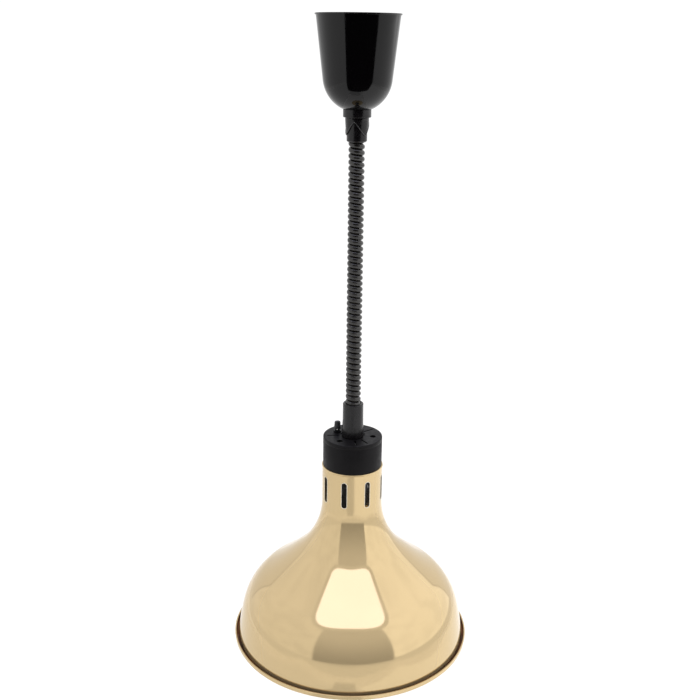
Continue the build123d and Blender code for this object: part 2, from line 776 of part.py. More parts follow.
# Shade ring: the pressed plate inside the neck that the cap's screws pull up.
with BuildPart() as shade_ring:
    with BuildSketch(Plane.XY.offset(cap_bottom_z - shade_ring_t)):
        Circle(neck_r - shade_wall)
        Circle(shade_ring_inner_r - 1.4, mode=Mode.SUBTRACT)
        for angle in cap_screw_angles:
            with Locations(on_circle(cap_screw_circle_r, angle)):
                Circle(4.6)
    extrude(amount=shade_ring_t)
    with BuildSketch(Plane.XY.offset(cap_bottom_z - shade_ring_t)):
        Circle(shade_ring_inner_r - 3.6)
        for angle in cap_screw_angles:
            with Locations(on_circle(cap_screw_circle_r, angle)):
                Circle(cap_screw_r + 0.05)
    extrude(amount=shade_ring_t, mode=Mode.SUBTRACT)
shade_ring.part.label = "shade_ring"
export_step(shade_ring.part, "parts/shade_ring.step")

# Shade: neck, flare, sloping dome, shoulder and skirt as tangent arcs, with one wall.
# The sheet steps out at the rim and ends in a rolled bead.
with BuildPart() as shade:
    with BuildSketch(Plane.XZ):
        with BuildLine():
            neck = Line((neck_r, neck_top_z), (neck_r, flare_start_z))
            flare = JernArc(neck @ 1, neck % 1, flare_r, flare_angle)
            slope = JernArc(flare @ 1, flare % 1, slope_r, slope_angle - flare_angle)
            shoulder = JernArc(slope @ 1, slope % 1, shoulder_r, shoulder_angle - slope_angle)
            skirt = JernArc(shoulder @ 1, shoulder % 1, skirt_r, skirt_angle - shoulder_angle)
            rim_top = skirt @ 1
            offset(amount=shade_wall, side=Side.RIGHT)
        make_face()
        bead_z = rim_top.Y - 5.4
        with BuildLine():
            Polyline(
                (rim_top.X - shade_wall, rim_top.Y),
                (rim_top.X, rim_top.Y),
                (rim_top.X + 0.15, rim_top.Y - 2.2),
                (rim_top.X + 1.3, rim_top.Y - 2.6),
                (rim_r - bead_r, bead_z),
                (rim_r - 2 * bead_r, bead_z),
                (rim_top.X - shade_wall, rim_top.Y - 2.4),
                close=True,
            )
        make_face()
        with Locations((rim_r - bead_r, bead_z)):
            Circle(bead_r)
    revolve(axis=Axis.Z)
    for slot in range(slot_count):
        angle = slot_first_angle + 360 / slot_count * slot
        slot_plane = Plane(
            origin=on_circle(neck_r - 4, angle, slot_mid_z),
            x_dir=on_circle(1, angle + 90),
            z_dir=on_circle(1, angle),
        )
        with BuildSketch(slot_plane):
            SlotOverall(slot_height, slot_width, rotation=90)
        extrude(amount=8, mode=Mode.SUBTRACT)
shade.part.label = "shade"
export_step(shade.part, "parts/shade.step")
print("rim top", round(rim_top.X, 2), round(rim_top.Y, 2), "bead centre", round(bead_z, 2))

# ---- switch ----
switch_place = on_circle(switch_circle_r, switch_angle)
body_top_z = cap_top_z - cap_top_t - 1.2
body_height = 9.5
switch_body_plane = Plane(
    origin=on_circle(switch_circle_r, switch_angle, body_top_z - body_height),
    x_dir=on_circle(1, switch_angle + 90),
    z_dir=(0, 0, 1),
)
with BuildPart() as switch_body:
    with BuildSketch(switch_body_plane):
        RectangleRounded(13.0, 8.0, 0.6)
    extrude(amount=body_height)
switch_body.part.label = "switch_body"
export_step(switch_body.part, "parts/switch_body.step")

tab_length = 5.0
with BuildPart() as switch_terminals:
    with BuildSketch(switch_body_plane.offset(-tab_length)):
        with GridLocations(5.0, 0, 2, 1):
            Rectangle(0.8, 2.4)
    extrude(amount=tab_length)
switch_terminals.part.label = "switch_terminals"
export_step(switch_terminals.part, "parts/switch_terminals.step")

bushing_top_z = cap_top_z + 2.6
with BuildPart() as switch_bushing:
    with BuildSketch(Plane.XY.offset(body_top_z)):
        with Locations(switch_place):
            Circle(bushing_r)
    extrude(amount=bushing_top_z - body_top_z)
    with BuildSketch(Plane.XY.offset(lever_pivot_z - 1.6)):
        with Locations(switch_place):
            Circle(2.35)
    extrude(amount=bushing_top_z - lever_pivot_z + 1.6, mode=Mode.SUBTRACT)
switch_bushing.part.label = "switch_bushing"
export_step(switch_bushing.part, "parts/switch_bushing.step")

with BuildPart() as switch_nut:
    with BuildSketch(Plane.XY.offset(cap_top_z)):
        with Locations(switch_place):
            RegularPolygon(4.4, 6)
            Circle(bushing_r, mode=Mode.SUBTRACT)
    extrude(amount=2.0)
switch_nut.part.label = "switch_nut"
export_step(switch_nut.part, "parts/switch_nut.step")

# Lever: a bat handle that leans back at rest and swings forward, under a rubber boot.
lever_plane = Plane(
    origin=(switch_place[0], switch_place[1], lever_pivot_z),
    x_dir=(1, 0, 0),
    z_dir=(0, sin(radians(switch_tilt)), cos(radians(switch_tilt))),
)
lever_length = 9.5
boot_start = 3.6
boot_end = 11.6
boot_r = 3.1
with BuildPart() as switch_lever:
    with BuildSketch(lever_plane.offset(-0.8)):
        Circle(lever_r)
    extrude(amount=lever_length * 0.6)
    with BuildSketch(lever_plane.offset(lever_length * 0.6 - 0.8)):
        Circle(lever_r)
    with BuildSketch(lever_plane.offset(lever_length)):
        Circle(lever_r + 0.4)
    loft()
switch_lever.part.label = "switch_lever"
export_step(switch_lever.part, "parts/switch_lever.step")

with BuildPart() as switch_boot:
    with BuildSketch(lever_plane.offset(boot_start)):
        Circle(boot_r)
    extrude(amount=boot_end - boot_start, taper=3)
    fillet(faces().sort_by(Axis.Z)[-1].edges(), 2.2)
    add(switch_lever.part, mode=Mode.SUBTRACT)
switch_boot.part.label = "switch_boot"
export_step(switch_boot.part, "parts/switch_boot.step")

# ---- wiring in the lamp head ----
# The cord's sheathed tail, from the coil down through the tube, the spigot and the washer.
lower_tail_end_z = -463.0
with BuildPart() as lower_cord_tail:
    with BuildSketch(Plane.XY.offset(lower_tail_end_z)):
        with Locations((helix_r, 0)):
            Circle(strand_r - 0.05)
    extrude(amount=coil_bottom_z - lower_tail_end_z)
lower_cord_tail.part.label = "lower_cord_tail"
export_step(lower_cord_tail.part, "parts/lower_cord_tail.step")

core_r = 0.9
core_spread = 1.5
tab_left = switch_body_plane.from_local_coords((-2.5, 0, -tab_length - core_r))
tab_right = switch_body_plane.from_local_coords((2.5, 0, -tab_length - core_r))
way_a = on_circle(wire_way_r, bracket_angle + 90)
way_b = on_circle(wire_way_r, bracket_angle + 270)
lead_bottom_z = holder_top_z - 6.0
live_route = [
    (helix_r - core_spread, core_spread, lower_tail_end_z),
    (helix_r - core_spread, core_spread, -466.5),
    (-4, 6.5, -472),
    (tab_left.X + 3, tab_left.Y + 0.5, tab_left.Z - 3),
    (tab_left.X, tab_left.Y, tab_left.Z),
]
switched_route = [
    (tab_right.X, tab_right.Y, tab_right.Z),
    (tab_right.X, tab_right.Y, tab_right.Z - 5),
    (way_a[0], way_a[1], -476),
    (way_a[0], way_a[1], lead_bottom_z),
]
neutral_route = [
    (helix_r + core_spread, 0, lower_tail_end_z),
    (helix_r + core_spread, 0, -467),
    (way_b[0], way_b[1], -475),
    (way_b[0], way_b[1], lead_bottom_z),
]
earth_route = [
    (helix_r - core_spread, -core_spread, lower_tail_end_z),
    (helix_r - core_spread, -core_spread, -466.5),
    (1, -11, -471),
    on_circle(stirrup_half - stirrup_t / 2 - core_r, bracket_angle + 180, -471.5),
]


def lead_radii(route):
    """The largest tangent arc that each corner of a lead's route has room for."""
    radii = []
    for before, corner, after in zip(route, route[1:], route[2:]):
        run_in = Vector(*corner) - Vector(*before)
        run_out = Vector(*after) - Vector(*corner)
        turn = run_in.get_angle(run_out)
        shorter = min(run_in.length, run_out.length)
        radii.append(0.45 * shorter * cos(radians(turn / 2)) / sin(radians(turn / 2)))
    return radii


lead_routes = {
    "live_lead": live_route,
    "switched_lead": switched_route,
    "neutral_lead": neutral_route,
    "earth_lead": earth_route,
}
for lead_name, route in lead_routes.items():
    radii = lead_radii(route)
    with BuildPart() as lead:
        with BuildLine() as lead_path:
            FilletPolyline(*route, radius=radii)
        with BuildSketch(Plane(lead_path.line @ 0, z_dir=lead_path.line % 0)):
            Circle(core_r)
        sweep()
    lead.part.label = lead_name
    export_step(lead.part, "parts/" + lead_name + ".step")
    swept = pi * core_r ** 2 * lead_path.wire().length
    print(lead_name, "length", round(lead_path.wire().length, 1), "radii",
          [round(radius, 1) for radius in radii], "volume", round(lead.part.volume, 1),
          "section x length", round(swept, 1))

# ---- lamp ----
# Screw cap with ring threads, insulator and tip.
with BuildPart() as lamp_cap:
    with BuildSketch(Plane.XY.offset(lamp_neck_z)):
        Circle(lamp_cap_r)
        Circle(lamp_cap_r - 0.5, mode=Mode.SUBTRACT)
    extrude(amount=lamp_tip_z - 4.2 - lamp_neck_z)
    for thread in range(5):
        with BuildSketch(Plane.XZ):
            with Locations((lamp_cap_r - 0.2, lamp_neck_z + 3.6 + thread_pitch * thread)):
                Circle(lamp_thread_r - lamp_cap_r + 0.2)
        revolve(axis=Axis.Z)
lamp_cap.part.label = "lamp_cap"
export_step(lamp_cap.part, "parts/lamp_cap.step")

insulator_top_z = lamp_tip_z - 1.2
insulator_bottom_z = lamp_tip_z - 4.2
with BuildPart() as lamp_insulator:
    with BuildSketch(Plane.XZ):
        with BuildLine():
            Polyline(
                (0, insulator_top_z),
                (4.8, insulator_top_z),
                (lamp_cap_r, insulator_bottom_z),
                (lamp_cap_r - 0.5, insulator_bottom_z - 1.5),
                (0, insulator_bottom_z - 1.5),
                close=True,
            )
        make_face()
    revolve(axis=Axis.Z)
    with BuildSketch(Plane.XY.offset(insulator_bottom_z - 1.5)):
        Circle(lamp_cap_r)
        Circle(lamp_cap_r - 0.5, mode=Mode.SUBTRACT)
    extrude(amount=1.5, mode=Mode.SUBTRACT)
lamp_insulator.part.label = "lamp_insulator"
export_step(lamp_insulator.part, "parts/lamp_insulator.step")

with BuildPart() as lamp_tip:
    with BuildSketch(Plane.XY.offset(insulator_top_z)):
        Circle(4.6)
    extrude(amount=lamp_tip_z - insulator_top_z)
    fillet(edges().group_by(Axis.Z)[-1], 0.8)
lamp_tip.part.label = "lamp_tip"
export_step(lamp_tip.part, "parts/lamp_tip.step")

# Glass envelope: neck, reflector flare and domed face, open only inside the screw cap.
glass_mouth_z = lamp_neck_z + 4.0
glass_mouth_r = 11.6
lamp_shoulder_z = lamp_neck_z - 50.0
lamp_widest_z = lamp_neck_z - 118.0
lamp_edge_r = 49.0
lamp_edge_z = lamp_face_z + 7.0


def envelope_line(inset):
    """The envelope's half outline, drawn this far inside its outer surface."""
    neck_line = Spline(
        (glass_mouth_r - inset, lamp_neck_z),
        (18.6 - inset, lamp_neck_z - 22),
        (lamp_neck_r - inset, lamp_shoulder_z),
        (lamp_bulb_r - inset, lamp_widest_z),
        tangents=[(0.7, -1), (0, -1)],
    )
    Line((glass_mouth_r - inset, glass_mouth_z), neck_line @ 0)
    edge_point = (lamp_edge_r, lamp_edge_z + inset)
    TangentArc(neck_line @ 1, edge_point, tangent=neck_line % 1)
    TangentArc((0, lamp_face_z + inset), edge_point, tangent=(1, 0))


with BuildPart() as lamp_envelope:
    with BuildSketch(Plane.XZ):
        with BuildLine():
            envelope_line(0)
            envelope_line(glass_t)
            Line((glass_mouth_r, glass_mouth_z), (glass_mouth_r - glass_t, glass_mouth_z))
            Line((0, lamp_face_z), (0, lamp_face_z + glass_t))
        make_face()
    revolve(axis=Axis.Z)
lamp_envelope.part.label = "lamp_envelope"
export_step(lamp_envelope.part, "parts/lamp_envelope.step")

# Glass stem with the filament on four supports.
stem_foot_z = lamp_neck_z + 2.0
stem_head_z = lamp_neck_z - 44.0
with BuildPart() as lamp_stem:
    with BuildSketch(Plane.XZ):
        with BuildLine():
            Polyline(
                (0, stem_foot_z),
                (10.2, stem_foot_z),
                (10.2, stem_foot_z - 1.2),
                (3.2, stem_foot_z - 12),
                (2.4, stem_head_z),
                (0, stem_head_z),
                close=True,
            )
        make_face()
    revolve(axis=Axis.Z)
lamp_stem.part.label = "lamp_stem"
export_step(lamp_stem.part, "parts/lamp_stem.step")

filament_z = stem_head_z - 12.0
with BuildPart() as filament_supports:
    for support in range(4):
        angle = 45 + 90 * support
        support_route = [
            on_circle(1.2, angle, stem_head_z),
            on_circle(1.2, angle, stem_head_z - 3),
            on_circle(filament_ring_r, angle, filament_z + 3.0),
            on_circle(filament_ring_r, angle, filament_z + filament_r),
        ]
        with BuildLine() as support_path:
            FilletPolyline(*support_route, radius=[1.0, 1.0])
        with BuildSketch(Plane(support_path.line @ 0, z_dir=support_path.line % 0)):
            Circle(0.35)
        sweep()
filament_supports.part.label = "filament_supports"
export_step(filament_supports.part, "parts/filament_supports.step")

with BuildPart() as filament:
    with BuildSketch(Plane.XZ):
        with Locations((filament_ring_r, filament_z)):
            Circle(filament_r)
    revolve(axis=Axis.Z, revolution_arc=330)
filament.part.label = "filament"
export_step(filament.part, "parts/filament.step")
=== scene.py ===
from math import asin, atan2, cos, degrees, pi, radians, sin, sqrt

import bmesh
import bpy
from mathutils import Matrix, Vector
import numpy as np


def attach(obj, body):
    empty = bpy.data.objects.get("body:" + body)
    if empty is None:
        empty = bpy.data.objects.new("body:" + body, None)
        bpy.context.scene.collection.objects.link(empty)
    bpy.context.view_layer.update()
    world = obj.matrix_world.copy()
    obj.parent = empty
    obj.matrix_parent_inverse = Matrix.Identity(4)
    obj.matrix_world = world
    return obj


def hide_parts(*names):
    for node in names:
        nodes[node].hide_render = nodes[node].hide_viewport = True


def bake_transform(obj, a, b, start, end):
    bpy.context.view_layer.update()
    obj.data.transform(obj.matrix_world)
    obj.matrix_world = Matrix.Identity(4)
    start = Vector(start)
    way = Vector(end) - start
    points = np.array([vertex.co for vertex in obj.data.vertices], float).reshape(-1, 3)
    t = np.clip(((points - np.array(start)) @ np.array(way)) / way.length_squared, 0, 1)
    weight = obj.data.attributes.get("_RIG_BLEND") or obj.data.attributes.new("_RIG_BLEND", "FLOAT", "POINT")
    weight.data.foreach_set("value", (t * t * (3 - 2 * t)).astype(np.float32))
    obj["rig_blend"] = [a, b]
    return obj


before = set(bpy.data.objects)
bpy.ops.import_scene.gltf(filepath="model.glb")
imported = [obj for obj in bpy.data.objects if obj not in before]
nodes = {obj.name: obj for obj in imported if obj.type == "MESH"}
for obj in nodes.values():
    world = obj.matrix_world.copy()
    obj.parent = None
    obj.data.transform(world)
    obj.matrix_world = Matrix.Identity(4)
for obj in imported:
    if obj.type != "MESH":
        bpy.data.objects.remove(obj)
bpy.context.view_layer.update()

MM = 0.001
scene = bpy.context.scene

# ---- camera ----
CAMERA_DISTANCE = 0.996
CAMERA_HEIGHT = -0.021
CAMERA_TILT = radians(17.91)
CAMERA_ROLL = radians(0.72)
camera_data = bpy.data.cameras.new("camera")
camera_data.lens = 50.0
camera_data.sensor_width = 36.0
camera_data.clip_start = 0.01
camera = bpy.data.objects.new("camera", camera_data)
scene.collection.objects.link(camera)
camera.matrix_world = (
    Matrix.Translation((-0.0042, -CAMERA_DISTANCE, CAMERA_HEIGHT))
    @ Matrix.Rotation(pi / 2 - CAMERA_TILT, 4, "X")
    @ Matrix.Rotation(CAMERA_ROLL, 4, "Z")
)
scene.camera = camera


# ---- mesh tools (millimetres in, metres out) ----
def new_object(name, verts, faces, smooth_angle=35.0):
    mesh = bpy.data.meshes.new(name)
    mesh.from_pydata([(x * MM, y * MM, z * MM) for x, y, z in verts], [], faces)
    obj = bpy.data.objects.new(name, mesh)
    scene.collection.objects.link(obj)
    finish_mesh(mesh, smooth_angle)
    return obj


def finish_mesh(mesh, smooth_angle=35.0):
    mesh.validate()
    for polygon in mesh.polygons:
        polygon.use_smooth = True
    mesh.set_sharp_from_angle(angle=radians(smooth_angle))
    mesh.update()


def rounded(corners, steps=6, closed=True):
    """A polyline through corners (r, z, fillet radius), with each corner rounded."""
    points = []
    count = len(corners)
    for i, (r, z, fillet) in enumerate(corners):
        here = Vector((r, z))
        if fillet <= 0 or (not closed and i in (0, count - 1)):
            points.append((r, z))
            continue
        before = Vector(corners[i - 1][:2]) - here
        after = Vector(corners[(i + 1) % count][:2]) - here
        a, b = before.normalized(), after.normalized()
        half = a.angle(b) / 2
        reach = min(fillet / max(sin(half) / max(cos(half), 1e-6), 1e-6),
                    0.49 * before.length, 0.49 * after.length)
        p, q = here + a * reach, here + b * reach
        for k in range(steps + 1):
            t = k / steps
            blend = p * (1 - t) ** 2 + here * 2 * t * (1 - t) + q * t ** 2
            points.append((blend.x, blend.y))
    return points


def lathe(name, profile, segments=192, closed=True, wobble=None, smooth_angle=35.0):
    """Revolves a profile of (r, z) round the Z axis."""
    verts, rings = [], []
    for r, z in profile:
        if r < 1e-6:
            rings.append([len(verts)])
            verts.append((0, 0, z))
            continue
        ring = []
        for k in range(segments):
            angle = 2 * pi * k / segments
            here = r + (wobble(angle, r, z) if wobble else 0)
            ring.append(len(verts))
            verts.append((here * cos(angle), here * sin(angle), z))
        rings.append(ring)
    faces = []
    pairs = list(zip(rings, rings[1:])) + ([(rings[-1], rings[0])] if closed else [])
    for upper, lower in pairs:
        if len(upper) == 1 and len(lower) == 1:
            continue
        for k in range(segments):
            n = (k + 1) % segments
            if len(upper) == 1:
                faces.append((upper[0], lower[n], lower[k]))
            elif len(lower) == 1:
                faces.append((upper[k], upper[n], lower[0]))
            else:
                faces.append((upper[k], upper[n], lower[n], lower[k]))
    obj = new_object(name, verts, faces, smooth_angle)
    fix_normals(obj.data, smooth_angle)
    return obj


def fix_normals(mesh, smooth_angle=35.0):
    bm = bmesh.new()
    bm.from_mesh(mesh)
    bmesh.ops.recalc_face_normals(bm, faces=bm.faces)
    bm.to_mesh(mesh)
    bm.free()
    finish_mesh(mesh, smooth_angle)


def prism(outline, origin, right, up, out, near, far, far_outline=None):
    """A closed prism: outline (u, v) in the plane of right and up, from near to far along out."""
    origin, right, up, out = (Vector(v) for v in (origin, right, up, out))
    verts = []
    for depth, shape in ((near, outline), (far, far_outline or outline)):
        for u, v in shape:
            verts.append(tuple(origin + right * u + up * v + out * depth))
    n = len(outline)
    faces = [tuple(range(n)), tuple(range(2 * n - 1, n - 1, -1))]
    faces += [(k, k + n, (k + 1) % n + n, (k + 1) % n) for k in range(n)]
    obj = new_object("cutter", verts, faces)
    fix_normals(obj.data)
    return obj


def stadium(length, width, steps=14):
    """The outline of a slot whose long side runs along v."""
    r = width / 2
    half = length / 2 - r
    points = [(r * cos(pi * k / steps), half + r * sin(pi * k / steps)) for k in range(steps + 1)]
    points += [(-r * cos(pi * k / steps), -half - r * sin(pi * k / steps)) for k in range(steps + 1)]
    return points


def disc(radius, steps=40):
    return [(radius * cos(2 * pi * k / steps), radius * sin(2 * pi * k / steps)) for k in range(steps)]


def apply_booleans(obj, cutters, operation="DIFFERENCE", smooth_angle=35.0):
    for cutter in cutters:
        modifier = obj.modifiers.new("cut", "BOOLEAN")
        modifier.operation = operation
        modifier.object = cutter
        modifier.solver = "EXACT"
    depsgraph = bpy.context.evaluated_depsgraph_get()
    depsgraph.update()
    mesh = bpy.data.meshes.new_from_object(obj.evaluated_get(depsgraph))
    obj.modifiers.clear()
    obj.data = mesh
    for cutter in cutters:
        bpy.data.objects.remove(cutter, do_unlink=True)
    finish_mesh(mesh, smooth_angle)


def tube(name, path, radius, sides=16, shape=None):
    """A capped tube along a list of points, with no twist. shape gives the radius at (ring, angle)."""
    points = [Vector(p) for p in path]
    verts, faces = [], []
    tangent = (points[1] - points[0]).normalized()
    normal = tangent.orthogonal().normalized()
    for i, point in enumerate(points):
        ahead = points[min(i + 1, len(points) - 1)] - points[max(i - 1, 0)]
        new_tangent = ahead.normalized()
        normal = (normal - new_tangent * normal.dot(new_tangent)).normalized()
        side_way = new_tangent.cross(normal)
        for k in range(sides):
            angle = 2 * pi * k / sides
            reach = shape(i, angle) if shape else radius
            verts.append(tuple(point + normal * cos(angle) * reach + side_way * sin(angle) * reach))
    for i in range(len(points) - 1):
        for k in range(sides):
            n = (k + 1) % sides
            faces.append((i * sides + k, i * sides + n, (i + 1) * sides + n, (i + 1) * sides + k))
    faces.append(tuple(range(sides - 1, -1, -1)))
    last = (len(points) - 1) * sides
    faces.append(tuple(range(last, last + sides)))
    return new_object(name, verts, faces, 50)


def route_points(name, corners, count):
    """Points read from the NURBS spline through a route's control points, in millimetres."""
    curve = bpy.data.curves.new(name, "CURVE")
    curve.dimensions = "3D"
    curve.resolution_u = count
    spline = curve.splines.new("NURBS")
    spline.points.add(len(corners) - 1)
    for point, (x, y, z) in zip(spline.points, corners):
        point.co = (x * MM, y * MM, z * MM, 1)
    spline.order_u = 3
    spline.use_endpoint_u = True
    holder = bpy.data.objects.new(name, curve)
    scene.collection.objects.link(holder)
    depsgraph = bpy.context.evaluated_depsgraph_get()
    depsgraph.update()
    mesh = bpy.data.meshes.new_from_object(holder.evaluated_get(depsgraph))
    points = [Vector(v.co) / MM for v in mesh.vertices]
    bpy.data.objects.remove(holder, do_unlink=True)
    return points


def on_circle(radius, angle, z=0.0):
    return Vector((radius * cos(radians(angle)), radius * sin(radians(angle)), z))


# ---- materials ----
def socket_input(tree, node, index, value):
    if isinstance(value, bpy.types.NodeSocket):
        tree.links.new(value, node.inputs[index])
    elif value is not None:
        node.inputs[index].default_value = value


def calc(tree, operation, a, b=None, c=None):
    node = tree.nodes.new("ShaderNodeMath")
    node.operation = operation
    for index, value in enumerate((a, b, c)):
        socket_input(tree, node, index, value)
    return node.outputs[0]


def step(tree, value, low, high, to_low=0.0, to_high=1.0):
    node = tree.nodes.new("ShaderNodeMapRange")
    node.interpolation_type = "SMOOTHSTEP"
    for index, item in enumerate((value, low, high, to_low, to_high)):
        socket_input(tree, node, index, item)
    return node.outputs[0]


def noise(tree, scale, stretch=(1, 1, 1), detail=4.0, roughness=0.55):
    place = tree.nodes.new("ShaderNodeTexCoord")
    mapping = tree.nodes.new("ShaderNodeMapping")
    mapping.inputs["Scale"].default_value = stretch
    tree.links.new(place.outputs["Object"], mapping.inputs["Vector"])
    texture = tree.nodes.new("ShaderNodeTexNoise")
    texture.inputs["Scale"].default_value = scale
    texture.inputs["Detail"].default_value = detail
    texture.inputs["Roughness"].default_value = roughness
    tree.links.new(mapping.outputs["Vector"], texture.inputs["Vector"])
    return texture.outputs["Fac"]


def material(name, color, rough=0.4, metal=0.0, spec=0.5, vary=0.12, rough_vary=0.08, mottle=60.0,
             grain=900.0, grain_depth=0.02, stretch=(1, 1, 1), coat=0.0, coat_rough=0.1, ior=1.5,
             transmission=0.0, tint=None):
    """A finish whose colour, gloss and surface vary with noise at two scales."""
    made = bpy.data.materials.new(name)
    made.use_nodes = True
    tree = made.node_tree
    shader = tree.nodes["Principled BSDF"]
    shader.inputs["Metallic"].default_value = metal
    shader.inputs["IOR"].default_value = ior
    shader.inputs["Specular IOR Level"].default_value = spec
    shader.inputs["Coat Weight"].default_value = coat
    shader.inputs["Coat Roughness"].default_value = coat_rough
    shader.inputs["Transmission Weight"].default_value = transmission
    patches = noise(tree, mottle, stretch)
    ramp = tree.nodes.new("ShaderNodeValToRGB")
    ramp.color_ramp.elements[0].position = 0.3
    ramp.color_ramp.elements[1].position = 0.7
    other = tint or color
    ramp.color_ramp.elements[0].color = [c * (1 - vary) for c in color] + [1]
    ramp.color_ramp.elements[1].color = [min(c * (1 + vary), 1) for c in other] + [1]
    tree.links.new(patches, ramp.inputs["Fac"])
    tree.links.new(ramp.outputs["Color"], shader.inputs["Base Color"])
    wear = noise(tree, mottle * 2.7, stretch)
    gloss = step(tree, wear, 0.3, 0.7, max(rough - rough_vary, 0.02), min(rough + rough_vary, 1))
    tree.links.new(gloss, shader.inputs["Roughness"])
    if grain_depth > 0:
        bump = tree.nodes.new("ShaderNodeBump")
        bump.inputs["Strength"].default_value = 1.0
        bump.inputs["Distance"].default_value = grain_depth * MM
        tree.links.new(noise(tree, grain, stretch, 3.0), bump.inputs["Height"])
        tree.links.new(bump.outputs["Normal"], shader.inputs["Normal"])
    return made


def gold_material():
    """Polished spun metal: a sharp reflection over a little haze, with fine spinning lines."""
    made = material("gold_shade", (0.61, 0.463, 0.25), rough=0.07, metal=0.72, spec=0.5, vary=0.025,
                    rough_vary=0.02, mottle=14.0, grain_depth=0)
    tree = made.node_tree
    shader = tree.nodes["Principled BSDF"]
    lines = noise(tree, 1.0, (3, 3, 2600), 2.0)
    waves = noise(tree, 9.0, (1, 1, 1), 1.0)
    first = tree.nodes.new("ShaderNodeBump")
    first.inputs["Strength"].default_value = 1.0
    first.inputs["Distance"].default_value = 0.0000025
    tree.links.new(lines, first.inputs["Height"])
    second = tree.nodes.new("ShaderNodeBump")
    second.inputs["Strength"].default_value = 1.0
    second.inputs["Distance"].default_value = 0.0006
    tree.links.new(waves, second.inputs["Height"])
    tree.links.new(first.outputs["Normal"], second.inputs["Normal"])
    tree.links.new(second.outputs["Normal"], shader.inputs["Normal"])
    return made


MATERIALS = {}


def finish(name, *basics, **details):
    MATERIALS[name] = material(name, *basics, **details)


finish("zinc_steel", (0.5, 0.51, 0.5), 0.34, 0.9, vary=0.16, mottle=220, tint=(0.56, 0.55, 0.47))
finish("spring_steel", (0.24, 0.25, 0.28), 0.3, 0.9, vary=0.2, mottle=160, tint=(0.2, 0.17, 0.16))
finish("rope_steel", (0.46, 0.46, 0.45), 0.36, 0.9, vary=0.18, mottle=900, grain=3000)
finish("ferrule_aluminium", (0.62, 0.62, 0.61), 0.42, 0.85, mottle=400, grain_depth=0.03)
finish("drum_aluminium", (0.55, 0.55, 0.56), 0.33, 0.9, mottle=90, grain=600, stretch=(1, 0.05, 1))
finish("terminal_plastic", (0.55, 0.54, 0.5), 0.5, 0, vary=0.05, mottle=120, grain=2000)
finish(
    "canopy_black", (0.0012, 0.001, 0.0012), 0.1, 0, 0.32, vary=0.2, rough_vary=0.035,
    mottle=26, grain=420, grain_depth=0.006,
)
finish(
    "grip_black", (0.0045, 0.0038, 0.0045), 0.24, 0, 0.36, vary=0.2, rough_vary=0.06,
    mottle=120, grain=1500, grain_depth=0.02,
)
finish("black_nickel", (0.03, 0.03, 0.034), 0.3, 0.9, 0.4, vary=0.2, mottle=160, grain=1700)
# painted highlight: a lighter black for the beads along the arch edges, standing in for the light along those
# edges
finish("grip_edge_painted_highlight", (0.03, 0.028, 0.031), 0.32, 0, 0.5, vary=0.2, mottle=120, grain=1500)
finish(
    "cap_black", (0.0035, 0.003, 0.0035), 0.45, 0, 0.14, vary=0.2, rough_vary=0.07, mottle=90,
    grain=1900, grain_depth=0.035,
)
finish(
    "cord_black", (0.0075, 0.0068, 0.0062), 0.22, 0, 0.6, vary=0.22, rough_vary=0.08,
    mottle=170, grain=1300, grain_depth=0.03, tint=(0.017, 0.015, 0.013),
)
finish("core_insulation", (0.5, 0.5, 0.47), 0.45, 0, mottle=200, grain=1500)
finish("live_brown", (0.13, 0.045, 0.018), 0.42, 0, mottle=200, grain=1500)
finish("neutral_blue", (0.02, 0.1, 0.34), 0.42, 0, mottle=200, grain=1500)
finish("earth_green", (0.06, 0.26, 0.03), 0.42, 0, mottle=200, grain=1500, tint=(0.5, 0.46, 0.03))
finish(
    "holder_ceramic", (0.1, 0.098, 0.095), 0.3, 0, 0.5, vary=0.1, mottle=110, grain=700,
    grain_depth=0.05, coat=0.4,
)
finish("brass", (0.58, 0.42, 0.17), 0.3, 0.95, vary=0.12, mottle=160, tint=(0.5, 0.33, 0.13))
finish("switch_plastic", (0.012, 0.012, 0.013), 0.42, 0, mottle=200, grain=1900)
finish("bright_nickel", (0.6, 0.59, 0.56), 0.16, 0.95, vary=0.06, rough_vary=0.05, mottle=300)
finish(
    "boot_rubber", (0.009, 0.009, 0.0095), 0.48, 0, 0.45, mottle=260, grain=2600,
    grain_depth=0.03,
)
MATERIALS["gold_shade"] = gold_material()
finish("insulator_glass", (0.015, 0.015, 0.02), 0.12, 0, mottle=200, grain=900)
finish("solder", (0.5, 0.5, 0.51), 0.32, 0.9, mottle=500, grain=900, grain_depth=0.08)
finish(
    "lamp_glass", (0.93, 0.93, 0.92), 0.2, 0, 0.5, vary=0.02, rough_vary=0.08, mottle=60,
    grain=350, grain_depth=0.05, transmission=0.85, ior=1.46,
)
finish("support_wire", (0.5, 0.49, 0.47), 0.3, 0.95, mottle=500, grain=3000)
finish("tungsten", (0.22, 0.22, 0.23), 0.42, 0.9, mottle=600, grain=4000)
# painted highlight: a pale cream finish for the beads round the vent slots, standing in for the light their
# edges catch
finish("slot_edge_painted_highlight", (0.86, 0.8, 0.66), 0.3, 0.5, 0.5, vary=0.1, mottle=80, grain=900)
# painted shade: a dark orange-brown finish for the gutter at the rim, standing in for the shade in the groove
finish(
    "gold_painted_groove_shade", (0.34, 0.11, 0.02), 0.4, 0.6, 0.2, vary=0.5, rough_vary=0.15, mottle=35,
    grain=700, grain_depth=0.02, tint=(0.03, 0.014, 0.008),
)
# painted shade: a dark gold finish for the inside of the neck, standing in for the shade seen through the
# vent slots
finish("gold_inside_painted_shade", (0.075, 0.052, 0.026), 0.42, 0.7, 0.3, vary=0.3, mottle=60, grain=900)
finish(
    "lamp_mirror", (0.8, 0.8, 0.79), 0.16, 0.9, vary=0.03, rough_vary=0.06, mottle=40,
    grain=260, grain_depth=0.03,
)


def give(obj, *slots):
    """Gives a piece these finishes, in this order."""
    for name in slots:
        obj.data.materials.append(MATERIALS[name])


def stands_for(obj, body, slot_name, *replaced):
    give(obj, slot_name)
    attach(obj, body)
    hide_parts(*replaced)


